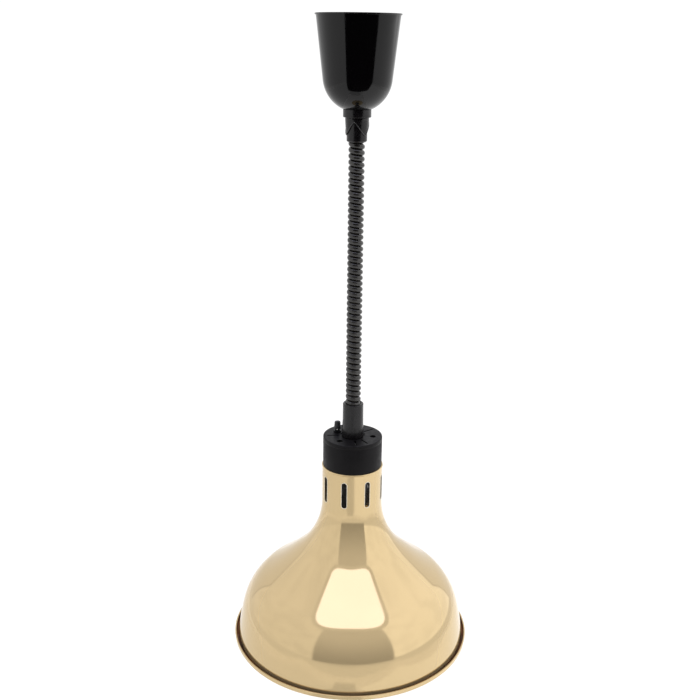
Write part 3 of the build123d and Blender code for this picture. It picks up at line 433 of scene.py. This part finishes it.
# ---- cords first: the coiled cord and the rope inside it ----
COIL_TOP, COIL_BOTTOM = -112.0, -414.0
STRAND_R, HELIX_R = 3.0, 5.4
COIL_TURNS = 48
STEPS_A_TURN = 32
COIL_SIDES = 16
coil_line = route_points(
    "coil_route",
    [(0, 0, COIL_TOP - STRAND_R), (0, 0, -200), (0, 0, -320), (0, 0, COIL_BOTTOM + STRAND_R)],
    64,
)


line_top, line_bottom = coil_line[0].z, coil_line[-1].z


def line_at(z):
    """The point of the coil's route at this height."""
    for a, b in zip(coil_line, coil_line[1:]):
        if b.z <= z <= a.z:
            return a.lerp(b, (a.z - z) / (a.z - b.z))
    return coil_line[-1] if z < line_bottom else coil_line[0]


helix = []
for i in range(COIL_TURNS * STEPS_A_TURN + 1):
    share = i / (COIL_TURNS * STEPS_A_TURN)
    angle = 2 * pi * COIL_TURNS * share
    axis_point = line_at(line_top + (line_bottom - line_top) * share)
    helix.append(axis_point + Vector((HELIX_R * cos(angle), HELIX_R * sin(angle), 0)))
coil = tube("coiled_cord_helix", helix, STRAND_R, COIL_SIDES)
give(coil, "cord_black")
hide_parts("coiled_cord")
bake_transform(coil, "ceiling_unit", "lamp_head", (0, 0, COIL_TOP * MM), (0, 0, COIL_BOTTOM * MM))
weights = coil.data.attributes["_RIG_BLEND"].data
for ring, point in enumerate(helix):
    for k in range(COIL_SIDES):
        weights[ring * COIL_SIDES + k].value = (line_top - point.z) / (line_top - line_bottom)

ROPE_TOP, ROPE_BOTTOM = -43.5, -453.6
ROPE_FIXED_Z = -49.5
ROPE_R, ROPE_SIDES, ROPE_LAY_TURNS = 0.6, 24, 80
rope_line = route_points(
    "rope_route", [(0, 0, ROPE_TOP), (0, 0, -180), (0, 0, -320), (0, 0, ROPE_BOTTOM)], 130
)


def rope_shape(ring, angle):
    twist = 2 * pi * ROPE_LAY_TURNS * ring / (len(rope_line) - 1)
    return ROPE_R * (0.84 + 0.16 * abs(cos(3 * (angle - twist))))


rope = tube("wire_rope_strands", rope_line, ROPE_R, ROPE_SIDES, rope_shape)
give(rope, "rope_steel")
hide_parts("wire_rope")
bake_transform(rope, "ceiling_unit", "lamp_head", (0, 0, -0.112), (0, 0, -0.414))
rope_weights = rope.data.attributes["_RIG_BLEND"].data
for ring, point in enumerate(rope_line):
    share = min(max((ROPE_FIXED_Z - point.z) / (ROPE_FIXED_Z - ROPE_BOTTOM), 0), 1)
    for k in range(ROPE_SIDES):
        rope_weights[ring * ROPE_SIDES + k].value = share

# ---- ceiling unit ----
CANOPY_TOP_R, CANOPY_TAPER_R, CANOPY_TAPER_Z = 41.7, 34.6, -62.8
CANOPY_BOTTOM_R, CANOPY_BOTTOM_Z = 15.0, -90.2


def arc_from(start, tangent, end, steps=40):
    """Points of the arc that leaves start along tangent and ends at end."""
    start, end = Vector(start), Vector(end)
    tangent = Vector(tangent).normalized()
    chord = end - start
    normal = Vector((-tangent.y, tangent.x))
    radius = chord.length_squared / (2 * chord.dot(normal))
    centre = start + normal * radius
    a0 = atan2(start.y - centre.y, start.x - centre.x)
    a1 = atan2(end.y - centre.y, end.x - centre.x)
    turn = a1 - a0
    if radius > 0 and turn < 0:
        turn += 2 * pi
    if radius < 0 and turn > 0:
        turn -= 2 * pi
    angles = [a0 + turn * k / steps for k in range(steps + 1)]
    return [(centre.x + abs(radius) * cos(a), centre.y + abs(radius) * sin(a)) for a in angles]


def inset(line, wall):
    """A line offset to its left-hand inner side by the wall, for a profile that runs downwards."""
    moved = []
    for i, (r, z) in enumerate(line):
        a = Vector(line[max(i - 1, 0)])
        b = Vector(line[min(i + 1, len(line) - 1)])
        way = (b - a).normalized()
        moved.append((r + way.y * wall, z - way.x * wall))
    return moved


bowl = arc_from(
    (CANOPY_TAPER_R, CANOPY_TAPER_Z),
    (CANOPY_TAPER_R - CANOPY_TOP_R, CANOPY_TAPER_Z),
    (CANOPY_BOTTOM_R, CANOPY_BOTTOM_Z),
)
taper = [
    (CANOPY_TOP_R + (CANOPY_TAPER_R - CANOPY_TOP_R) * k / 12, CANOPY_TAPER_Z * k / 12) for k in range(13)
]
canopy_wall_line = taper[:-1] + bowl
inner_line = inset(canopy_wall_line, 2.0)
lip = rounded([(42.7, -0.05, 0.25), (42.7, -1.6, 0.5), (41.62, -1.65, 0.3)], closed=False)
canopy_profile = (
    [(42.3, 0), (42.6, -0.12)]
    + lip[1:]
    + [p for p in canopy_wall_line if p[1] < -2.2]
    + [(14.4, -90.2), (11.1, -90.2), (11.1, -88.2)]
    + [p for p in reversed(inner_line) if p[1] < -0.4 and p[0] > 12]
    + [(39.9, -0.1), (40.1, 0)]
)
canopy = lathe("canopy_shell", canopy_profile, 256)
stands_for(canopy, "ceiling_unit", "canopy_black", "canopy")

collar_profile = rounded(
    [(11.05, -90.25, 0), (14.2, -90.25, 0.6), (14.2, -98.3, 0.8), (11.05, -98.3, 0)], 6
)


collar = lathe("grip_collar_ring", collar_profile, 160)
lug_place = on_circle(12.9, 247.0, -100.5)
lug = lathe("lug", rounded([(0, 0.9, 0), (0.8, 0.9, 0), (0.8, 2.8, 0), (0, 2.8, 0)], 3), 24)
lug.data.transform(Matrix.Translation(Vector((lug_place.x, lug_place.y, lug_place.z - 0.6)) * MM))
apply_booleans(collar, [lug], "UNION")
stands_for(collar, "ceiling_unit", "grip_black", "grip_collar")

SLEEVE_BOTTOM_R = 11.05
ARCH_MIDDLE, ARCH_FOOT_Z, ARCH_RISE = 256.0, -115.2, 13.4
sleeve_profile = [
    (11.02, -98.35), (11.9, -98.35), (12.0, -98.5), (12.0, -101.3), (11.85, -104), (11.55, -108),
    (11.25, -112.5), (11.05, -115.8), (10.95, -116.0), (10.5, -116.0), (10.55, -112), (10.65, -108),
    (10.7, -104), (11.02, -103.0),
]
sleeve = lathe("grip_sleeve_tabs", sleeve_profile, 192)
arch_half = SLEEVE_BOTTOM_R * sin(radians(57.0))
# one side of the arch, nearly straight, up to its point
arch_side = [
    (arch_half * (1 - k / 24) ** 0.86, ARCH_FOOT_Z + ARCH_RISE * k / 24) for k in range(24)
] + [(0, ARCH_FOOT_Z + ARCH_RISE)]
arch_edge = arch_side + [(-u, v) for u, v in reversed(arch_side[:-1])]
arch_outline = [(-arch_half, -118.0), (arch_half, -118.0)] + arch_edge
arches = [
    prism(arch_outline, (0, 0, 0), on_circle(1, ARCH_MIDDLE + turn + 90), (0, 0, 1),
          on_circle(1, ARCH_MIDDLE + turn), 5.0, 16.0)
    for turn in (0, 120, 240)
]
apply_booleans(sleeve, arches)
stands_for(sleeve, "ceiling_unit", "grip_black", "grip_sleeve")


def joined_tubes(name, paths, radius, sides=10):
    """Several tubes as one piece."""
    verts, faces = [], []
    for path in paths:
        part = tube("part", path, radius, sides)
        start = len(verts)
        verts += [tuple(v.co / MM) for v in part.data.vertices]
        faces += [tuple(start + i for i in f.vertices) for f in part.data.polygons]
        bpy.data.objects.remove(part, do_unlink=True)
    return new_object(name, verts, faces, 60)


def sleeve_radius(z):
    """The sleeve's outer radius at this height, below its straight top."""
    for (r0, z0), (r1, z1) in zip(sleeve_profile[3:8], sleeve_profile[4:8]):
        if z1 <= z <= z0:
            return r0 + (r1 - r0) * (z0 - z) / (z0 - z1)
    return SLEEVE_BOTTOM_R


def arch_rim(middle):
    """The arch's edge, laid on the sleeve's surface."""
    path = []
    for u, v in arch_edge[:-1]:
        radius = sleeve_radius(v)
        path.append(on_circle(radius - 0.08, middle + degrees(asin(max(min(u / radius, 1), -1))), v))
    return path


rims = [arch_rim(middle) for middle in (ARCH_MIDDLE, ARCH_MIDDLE - 240, ARCH_MIDDLE - 120)]
# a thin bead along each arch edge, in the lighter finish: painted highlight on the edges
sleeve_rims = joined_tubes("grip_sleeve_rims", rims, 0.5)
sleeve_rims.data.materials.append(MATERIALS["grip_edge_painted_highlight"])
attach(sleeve_rims, "ceiling_unit")

grip_tube = lathe(
    "grip_tube_sleeve",
    rounded(
        [
            (8.7, -103.0, 0), (10.35, -103.0, 0), (10.35, -121.4, 0.4), (9.3, -122.5, 0.3),
            (8.7, -122.5, 0.2),
        ],
        5,
    ),
    128,
)
stands_for(grip_tube, "ceiling_unit", "grip_black", "grip_tube")

# rope turns on the drum, side by side
REEL_X, REEL_Z, REEL_PITCH_R = -13.5, -42.0, 13.5
scallops = []
turns_wide = 14
for k in range(turns_wide * 8 + 1):
    y = -8.5 + 17.0 * k / (turns_wide * 8)
    phase = (k % 8) / 8
    scallops.append((REEL_PITCH_R - 0.05 + 0.6 * sqrt(max(1 - (2 * phase - 1) ** 2, 0)), y))
winding = lathe("rope_turns", [(13.0, -8.5)] + scallops + [(13.0, 8.5)], 128, smooth_angle=60)
winding.data.transform(Matrix.Translation((REEL_X * MM, 0, REEL_Z * MM)) @ Matrix.Rotation(pi / 2, 4, "X"))
stands_for(winding, "reel", "rope_steel", "rope_winding")

# ---- lamp head ----
lower_tube = lathe(
    "lower_cord_tube_sleeve",
    rounded(
        [
            (8.7, -403.5, 0.3), (10.8, -403.5, 0.5), (11.3, -404.4, 0.4), (11.42, -420.0, 0),
            (11.6, -431.0, 2.0), (12.1, -441.2, 0.2), (12.1, -442.7, 0), (10.0, -442.7, 0),
            (10.0, -452.0, 0.4), (8.6, -452.0, 0.3),
            (8.6, -420.0, 0), (8.7, -420.0, 0),
        ],
        5,
    ),
    160,
)
stands_for(lower_tube, "lamp_head", "grip_black", "lower_cord_tube")

CAP_R, CAP_TOP, CAP_BOTTOM, CAP_WALL = 32.7, -441.7, -482.0, 2.4
SCREW_ANGLES = (111.5, 231.5, 351.5)


def parting(angle, r, z):
    """Two faint moulding lines down the cap's side."""
    if r < CAP_R - 0.4 or z > CAP_TOP - 1.5:
        return 0.0
    return sum(0.09 for line in (radians(284), radians(104)) if abs(angle - line) < radians(0.6))


cap_profile = rounded(
    [
        (10.0, -442.7, 0), (13.7, -442.7, 0.25), (13.7, -441.7, 0.25), (CAP_R, CAP_TOP, 1.3),
        (CAP_R, CAP_TOP - 2.6, 0), (CAP_R - 0.16, CAP_TOP - 2.8, 0), (CAP_R, CAP_TOP - 3.0, 0),
        (CAP_R, CAP_TOP - 4.3, 0), (CAP_R - 0.14, CAP_TOP - 4.5, 0), (CAP_R, CAP_TOP - 4.7, 0),
        (CAP_R, -474.9, 0), (CAP_R, CAP_BOTTOM, 0.5), (CAP_R - CAP_WALL, CAP_BOTTOM, 0.3),
        (CAP_R - CAP_WALL, CAP_TOP - 3.0, 0.4), (10.0, CAP_TOP - 3.0, 0.2),
    ],
    6,
)
cap = lathe("top_cap_shell", cap_profile, 360, wobble=parting)
towers = [
    prism(disc(4.4), on_circle(22.5, a, 0), (1, 0, 0), (0, 1, 0), (0, 0, 1), CAP_BOTTOM, CAP_TOP - 1.0)
    for a in SCREW_ANGLES
]
apply_booleans(cap, towers, "UNION")
holes = []
for a in SCREW_ANGLES:
    centre = on_circle(22.5, a, 0)
    holes.append(prism(disc(3.3, 56), centre, (1, 0, 0), (0, 1, 0), (0, 0, 1), CAP_TOP - 6, CAP_TOP + 2))
    holes.append(prism(disc(1.8), centre, (1, 0, 0), (0, 1, 0), (0, 0, 1), CAP_BOTTOM - 2, CAP_TOP - 5))
holes.append(
    prism(disc(3.0, 56), on_circle(19.0, 154.0, 0), (1, 0, 0), (0, 1, 0), (0, 0, 1), CAP_TOP - 6, CAP_TOP + 2)
)
for a in (38, 65, 185, 278, 305):
    holes.append(
        prism(
            stadium(13.0, 1.8), on_circle(22.0, a, 0), on_circle(1, a - 90), on_circle(1, a), (0, 0, 1),
            CAP_TOP - 6, CAP_TOP + 2,
        )
    )
apply_booleans(cap, holes)
stands_for(cap, "lamp_head", "cap_black", "top_cap")

# shade: the outer line as tangent arcs, then a wall and a gutter at the rim
NECK_R, NECK_TOP, FLARE_START, SHADE_WALL = 33.65, -475.5, -518.0, 0.9
shade_line = [(NECK_R, NECK_TOP + (FLARE_START - NECK_TOP) * k / 24) for k in range(24)]
shade_line[0] = (NECK_R, NECK_TOP - 0.35)
x, y, heading = NECK_R, FLARE_START, 0.0
for radius, end_heading, steps in ((86, 46.6, 44), (340, 54.8, 22), (67.5, 13.6, 44), (290, 7.7, 14)):
    end_heading = radians(end_heading)
    for k in range(steps):
        now = heading + (end_heading - heading) * k / steps
        sign = 1 if end_heading > heading else -1
        shade_line.append((
            x - sign * radius * (cos(now) - cos(heading)),
            y - sign * radius * (sin(now) - sin(heading)),
        ))
    x, y = (
        x - sign * radius * (cos(end_heading) - cos(heading)),
        y - sign * radius * (sin(end_heading) - sin(heading)),
    )
    heading = end_heading
shade_line.append((x, y))
RIM_X, RIM_Z = x, y
# the wall runs down into a gutter and up into a lip whose edge folds back down outside
gutter = rounded(
    [
        (RIM_X, RIM_Z, 0), (RIM_X - 0.1, -687.2, 1.0), (133.5, -687.2, 1.0), (133.5, -683.3, 0),
        (133.5, -682.5, 0.75), (135.0, -682.5, 0.75), (135.0, -683.3, 0), (135.0, -686.2, 0.2),
        (134.25, -686.25, 0.15), (134.1, -686.5, 0.2), (134.1, -688.1, 1.5), (129.7, -688.1, 1.4),
        (RIM_X - SHADE_WALL, RIM_Z, 0),
    ],
    7,
    closed=False,
)
shade_profile = (
    [(NECK_R - 0.45, NECK_TOP)]
    + [(NECK_R + 0.42 * sin(pi * k / 8), NECK_TOP - 0.15 - 1.5 * k / 8) for k in range(9)]
    + shade_line[1:-1]
    + gutter[:-1]
    + list(reversed(inset(shade_line, SHADE_WALL)))
    + [(NECK_R - SHADE_WALL, NECK_TOP - 0.12), (NECK_R - SHADE_WALL + 0.15, NECK_TOP)]
)
shade = lathe("shade_dome", shade_profile, 256, smooth_angle=40)
SLOT_Z = -500.5
SLOT_ANGLES = [255.0 + 45 * k for k in range(8)]
slots = []
for a in SLOT_ANGLES:
    axes = on_circle(1, a + 90), (0, 0, 1), on_circle(1, a)
    slots.append(prism(stadium(30.6, 6.2), on_circle(30, a, SLOT_Z), *axes, -1, 8))
    slots.append(
        prism(stadium(30.5, 6.1), on_circle(NECK_R, a, SLOT_Z), *axes, -0.5, 0.3, stadium(32.1, 7.7))
    )
apply_booleans(shade, slots, smooth_angle=30)
give(shade, "gold_shade", "gold_painted_groove_shade", "gold_inside_painted_shade")
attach(shade, "lamp_head")
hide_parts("shade")
GROOVE_TOP_Z, NECK_INSIDE_Z = -684.0, -545.0
for polygon in shade.data.polygons:
    centre, normal = polygon.center, polygon.normal
    reach = sqrt(centre.x ** 2 + centre.y ** 2) / MM
    outward = normal.x * centre.x + normal.y * centre.y
    # faces in the gutter get the painted groove shade
    if centre.z < GROOVE_TOP_Z * MM and 130.15 < reach < 133.55 and normal.z > -0.3:
        polygon.material_index = 1
    # faces inside the neck get the painted inside shade
    elif centre.z > NECK_INSIDE_Z * MM and outward < -0.5 * reach * MM:
        polygon.material_index = 2

slot_loops = []
for a in SLOT_ANGLES:
    loop = stadium(30.9, 6.5, 18)
    loop.append(loop[0])
    loop.append(loop[1])
    slot_loops.append(
        [on_circle(NECK_R - 0.04, a + degrees(u / NECK_R), SLOT_Z + v) for u, v in loop]
    )
# a thin bead round each vent slot, in the pale finish: painted highlight on the slot edges
slot_edges = joined_tubes("shade_slot_edges", slot_loops, 0.3, 10)
slot_edges.data.materials.append(MATERIALS["slot_edge_painted_highlight"])
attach(slot_edges, "lamp_head")

# ---- switch handle: a ribbed rubber boot over the lever ----
tilt = radians(11.0)
boot_profile = rounded(
    [
        (1.3, 2.7, 0), (3.6, 2.7, 0.3), (4.0, 3.3, 0.3), (3.7, 4.1, 0.3), (3.9, 4.9, 0.3),
        (3.55, 5.7, 0.3), (3.7, 6.5, 0.3), (3.45, 7.3, 0.4), (3.4, 9.6, 1.0), (3.1, 11.0, 1.0),
        (1.7, 11.62, 0.8), (0, 11.68, 0), (0, 10.2, 0), (1.3, 9.6, 0),
    ],
    5,
)
boot = lathe("switch_boot_bellows", boot_profile, 72, smooth_angle=60)
pivot = on_circle(19.0, 154.0, -440.6)
boot.data.transform(Matrix.Translation(pivot * MM) @ Matrix.Rotation(-tilt, 4, "X"))
stands_for(boot, "switch_handle", "boot_rubber", "switch_boot")

# ---- lamp envelope: silvered neck, frosted face ----
FACE_Z = -671.0
MIRROR_EDGE_Z = -632
side_line = []
control = [(11.6, -519.0), (11.6, -523.0), (15.6, -533.0), (18.6, -545.0), (20.2, -558.0), (22.5, -573.0),
           (30.5, -591.0), (43.0, -608.0), (54.5, -623.0), (61.0, -634.0), (62.5, -641.0)]
for i in range(len(control) - 1):
    p0, p1 = Vector(control[max(i - 1, 0)]), Vector(control[i])
    p2, p3 = Vector(control[i + 1]), Vector(control[min(i + 2, len(control) - 1)])
    for k in range(6):
        t = k / 6
        q = 0.5 * (2 * p1 + (p2 - p0) * t + (2 * p0 - 5 * p1 + 4 * p2 - p3) * t ** 2
                   + (3 * p1 - p0 - 3 * p2 + p3) * t ** 3)
        side_line.append((q.x, q.y))
edge_arc = arc_from((62.5, -641.0), (0, -1), (49.0, -664.0), 16)
face_arc = list(reversed(arc_from((0, FACE_Z), (1, 0), (49.0, -664.0), 20)))
glass_outer = side_line + edge_arc[:-1] + face_arc
glass_inner = [(max(r, 0), z) for r, z in inset(glass_outer, 1.2)]
glass_inner[-1] = (0, FACE_Z + 1.2)
envelope = lathe("lamp_envelope_glass", glass_outer + list(reversed(glass_inner)), 160, smooth_angle=50)
give(envelope, "lamp_glass", "lamp_mirror")
for polygon in envelope.data.polygons:
    if MIRROR_EDGE_Z * MM < polygon.center.z:
        polygon.material_index = 1
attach(envelope, "lamp")
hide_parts("lamp_envelope")

# ---- finishes of the pieces kept from the model ----
KEPT = {
    "zinc_steel": (
        "ceiling_bracket", "reel_frame", "frame_screws", "axle_clips", "terminal_screws",
        "hanger_stem", "stem_nut", "anchor_washer", "cap_screws", "tube_nut", "holder_bracket",
        "holder_screws", "shade_ring",
    ),
    "spring_steel": ("mainspring",),
    "bright_nickel": ("reel_axle", "switch_lever"),
    "black_nickel": ("switch_bushing", "switch_nut"),
    "drum_aluminium": ("reel_drum", "drum_cover"),
    "terminal_plastic": ("terminal_block",),
    "cord_black": ("upper_cord_tail", "lower_cord_tail"),
    "core_insulation": ("tail_cores",),
    "ferrule_aluminium": ("rope_ferrule",),
    "holder_ceramic": ("lampholder_body",),
    "brass": ("lampholder_shell", "lampholder_contact", "switch_terminals", "lamp_cap"),
    "switch_plastic": ("switch_body",),
    "live_brown": ("live_lead", "switched_lead"),
    "neutral_blue": ("neutral_lead",),
    "earth_green": ("earth_lead",),
    "insulator_glass": ("lamp_insulator", "lamp_stem"),
    "solder": ("lamp_tip",),
    "support_wire": ("filament_supports",),
    "tungsten": ("filament",),
}
for slot_name, names in KEPT.items():
    for name in names:
        for index in range(len(nodes[name].material_slots)):
            nodes[name].material_slots[index].material = MATERIALS[slot_name]

# ---- floor and studio light ----
FLOOR_Z, FLOOR_HALF, CARD_Z = -1.82, 4.4, -1.80
floor_mesh = bpy.data.meshes.new("floor")
floor_corners = [(x * FLOOR_HALF, y * FLOOR_HALF, FLOOR_Z) for x, y in ((-1, -1), (1, -1), (1, 1), (-1, 1))]
floor_mesh.from_pydata(floor_corners, [], [(0, 1, 2, 3)])
floor = bpy.data.objects.new("floor", floor_mesh)
scene.collection.objects.link(floor)
pale = bpy.data.materials.new("pale_floor")
pale.use_nodes = True
pale_shader = pale.node_tree.nodes["Principled BSDF"]
pale_shader.inputs["Base Color"].default_value = (0.79, 0.775, 0.70, 1)
pale_shader.inputs["Roughness"].default_value = 0.9
pale_shader.inputs["Specular IOR Level"].default_value = 0.1
floor_mesh.materials.append(pale)
pale_shader.inputs["Emission Color"].default_value = (1, 1, 1, 1)
pale_shader.inputs["Emission Strength"].default_value = 0.06

# a small black flag between the camera and the canopy, for the canopy's dark middle
flag_mesh = bpy.data.meshes.new("flag")
flag_mesh.from_pydata(
    [(-0.108, -0.16, -0.215), (0.12, -0.16, -0.215), (0.25, -0.16, 0.03), (-0.108, -0.16, 0.03)],
    [],
    [(0, 1, 2, 3)],
)
flag = bpy.data.objects.new("flag", flag_mesh)
scene.collection.objects.link(flag)
black = bpy.data.materials.new("black_flag")
black.use_nodes = True
black.node_tree.nodes["Principled BSDF"].inputs["Base Color"].default_value = (0.004, 0.004, 0.004, 1)
black.node_tree.nodes["Principled BSDF"].inputs["Roughness"].default_value = 1.0
black.node_tree.nodes["Principled BSDF"].inputs["Specular IOR Level"].default_value = 0.0
flag_mesh.materials.append(black)
flag.visible_camera = False
flag.visible_shadow = False


def card(name, outline, z, color, strength):
    """A one-sided light card that faces down if its outline runs clockwise seen from above."""
    mesh = bpy.data.meshes.new(name)
    mesh.from_pydata([(x, y, z) for x, y in outline], [], [tuple(range(len(outline)))])
    obj = bpy.data.objects.new(name, mesh)
    scene.collection.objects.link(obj)
    glow = bpy.data.materials.new(name)
    glow.use_nodes = True
    nodes_here = glow.node_tree
    nodes_here.nodes.clear()
    target = nodes_here.nodes.new("ShaderNodeOutputMaterial")
    mix = nodes_here.nodes.new("ShaderNodeMixShader")
    emission = nodes_here.nodes.new("ShaderNodeEmission")
    emission.inputs["Color"].default_value = color + (1,)
    emission.inputs["Strength"].default_value = strength
    clear = nodes_here.nodes.new("ShaderNodeBsdfTransparent")
    side = nodes_here.nodes.new("ShaderNodeNewGeometry")
    nodes_here.links.new(side.outputs["Backfacing"], mix.inputs[0])
    nodes_here.links.new(emission.outputs[0], mix.inputs[1])
    nodes_here.links.new(clear.outputs[0], mix.inputs[2])
    nodes_here.links.new(mix.outputs[0], target.inputs["Surface"])
    mesh.materials.append(glow)
    obj.visible_camera = False
    obj.visible_shadow = False


card("bounce_right", [(0.55, -3.2), (3.4, -3.2), (3.4, 3.0), (0.55, 3.0)], CARD_Z, (1, 1, 1), 1.32)
card("bounce_left", [(-3.4, -3.2), (-0.85, -3.2), (-0.85, 3.0), (-3.4, 3.0)], CARD_Z, (1, 1, 1), 1.07)
card("bounce_front", [(-0.85, -3.6), (0.3, -3.6), (0.3, -1.0), (-0.85, -1.0)], CARD_Z, (1, 1, 1), 0.80)

# The studio as light from each direction: white walls, a softbox overhead, brighter
# panels at the sides and a dim sector in front.
world = bpy.data.worlds.new("studio")
scene.world = world
world.use_nodes = True
tree = world.node_tree
background = tree.nodes["Background"]
place = tree.nodes.new("ShaderNodeTexCoord")
split = tree.nodes.new("ShaderNodeSeparateXYZ")
tree.links.new(place.outputs["Generated"], split.inputs[0])
dx, dy, dz = split.outputs
bearing = calc(tree, "MULTIPLY", calc(tree, "ARCTAN2", dx, calc(tree, "MULTIPLY", dy, -1.0)), 180 / pi)
height = calc(tree, "MULTIPLY", calc(tree, "ARCSINE", dz), 180 / pi)


def band(value, low, high, soft):
    rise = step(tree, value, low - soft, low + soft)
    fall = step(tree, value, high - soft, high + soft, 1.0, 0.0)
    return calc(tree, "MULTIPLY", rise, fall)


def over(base, mask, level):
    """Replaces the light level by this one where the mask is 1."""
    gap = calc(tree, "SUBTRACT", level, base)
    return calc(tree, "MULTIPLY_ADD", mask, gap, base)


ripple = tree.nodes.new("ShaderNodeTexNoise")
ripple.inputs["Scale"].default_value = 5.0
tree.links.new(place.outputs["Generated"], ripple.inputs["Vector"])
fabric = step(tree, ripple.outputs["Fac"], 0.35, 0.65, 0.95, 1.04)
light = over(0.92, band(bearing, 0, 180, 4), 1.0)
light = over(light, band(bearing, -131, -30, 2), calc(tree, "MULTIPLY", fabric, 1.07))
light = over(light, band(bearing, 30, 134, 2), calc(tree, "MULTIPLY", fabric, 1.42))
light = over(light, band(bearing, -132.5, -131, 0.6), 0.74)
light = over(light, band(bearing, 134, 135.5, 0.6), 0.78)
light = over(light, step(tree, height, -5, -7), 0.98)
dim = calc(tree, "MULTIPLY", band(bearing, -36, 43, 1.5), band(height, -9, 54, 1.5))
light = over(light, dim, step(tree, height, -15, 45, 0.34, 0.74))
above = calc(tree, "MAXIMUM", dz, 0.05)
flat_x = calc(tree, "DIVIDE", dx, above)
flat_y = calc(tree, "DIVIDE", dy, above)
widen = calc(tree, "MULTIPLY_ADD", calc(tree, "MINIMUM", flat_y, 0.1), -0.5, 0.40)
across = calc(tree, "POWER", calc(tree, "ABSOLUTE", calc(tree, "DIVIDE", flat_x, widen)), 3.4)
deep = calc(tree, "DIVIDE", calc(tree, "SUBTRACT", flat_y, 0.14), 0.80)
deep = calc(tree, "POWER", calc(tree, "ABSOLUTE", deep), 3.4)
reach = calc(tree, "ADD", across, deep)
softbox = calc(tree, "MULTIPLY", step(tree, reach, 1.1, 0.9), step(tree, dz, 0.3, 0.4))
frame_shade = calc(tree, "MULTIPLY", step(tree, reach, 1.75, 1.5), step(tree, dz, 0.3, 0.4))
light = over(light, frame_shade, 0.86)
paths = tree.nodes.new("ShaderNodeLightPath")
seen = paths.outputs["Is Camera Ray"]
channels = tree.nodes.new("ShaderNodeCombineXYZ")
for channel, level in enumerate((2.25, 2.3, 2.85)):
    tree.links.new(over(over(light, softbox, level), seen, 1.05), channels.inputs[channel])
tree.links.new(channels.outputs[0], background.inputs["Color"])

scene.view_settings.view_transform = "Standard"
scene.view_settings.look = "None"
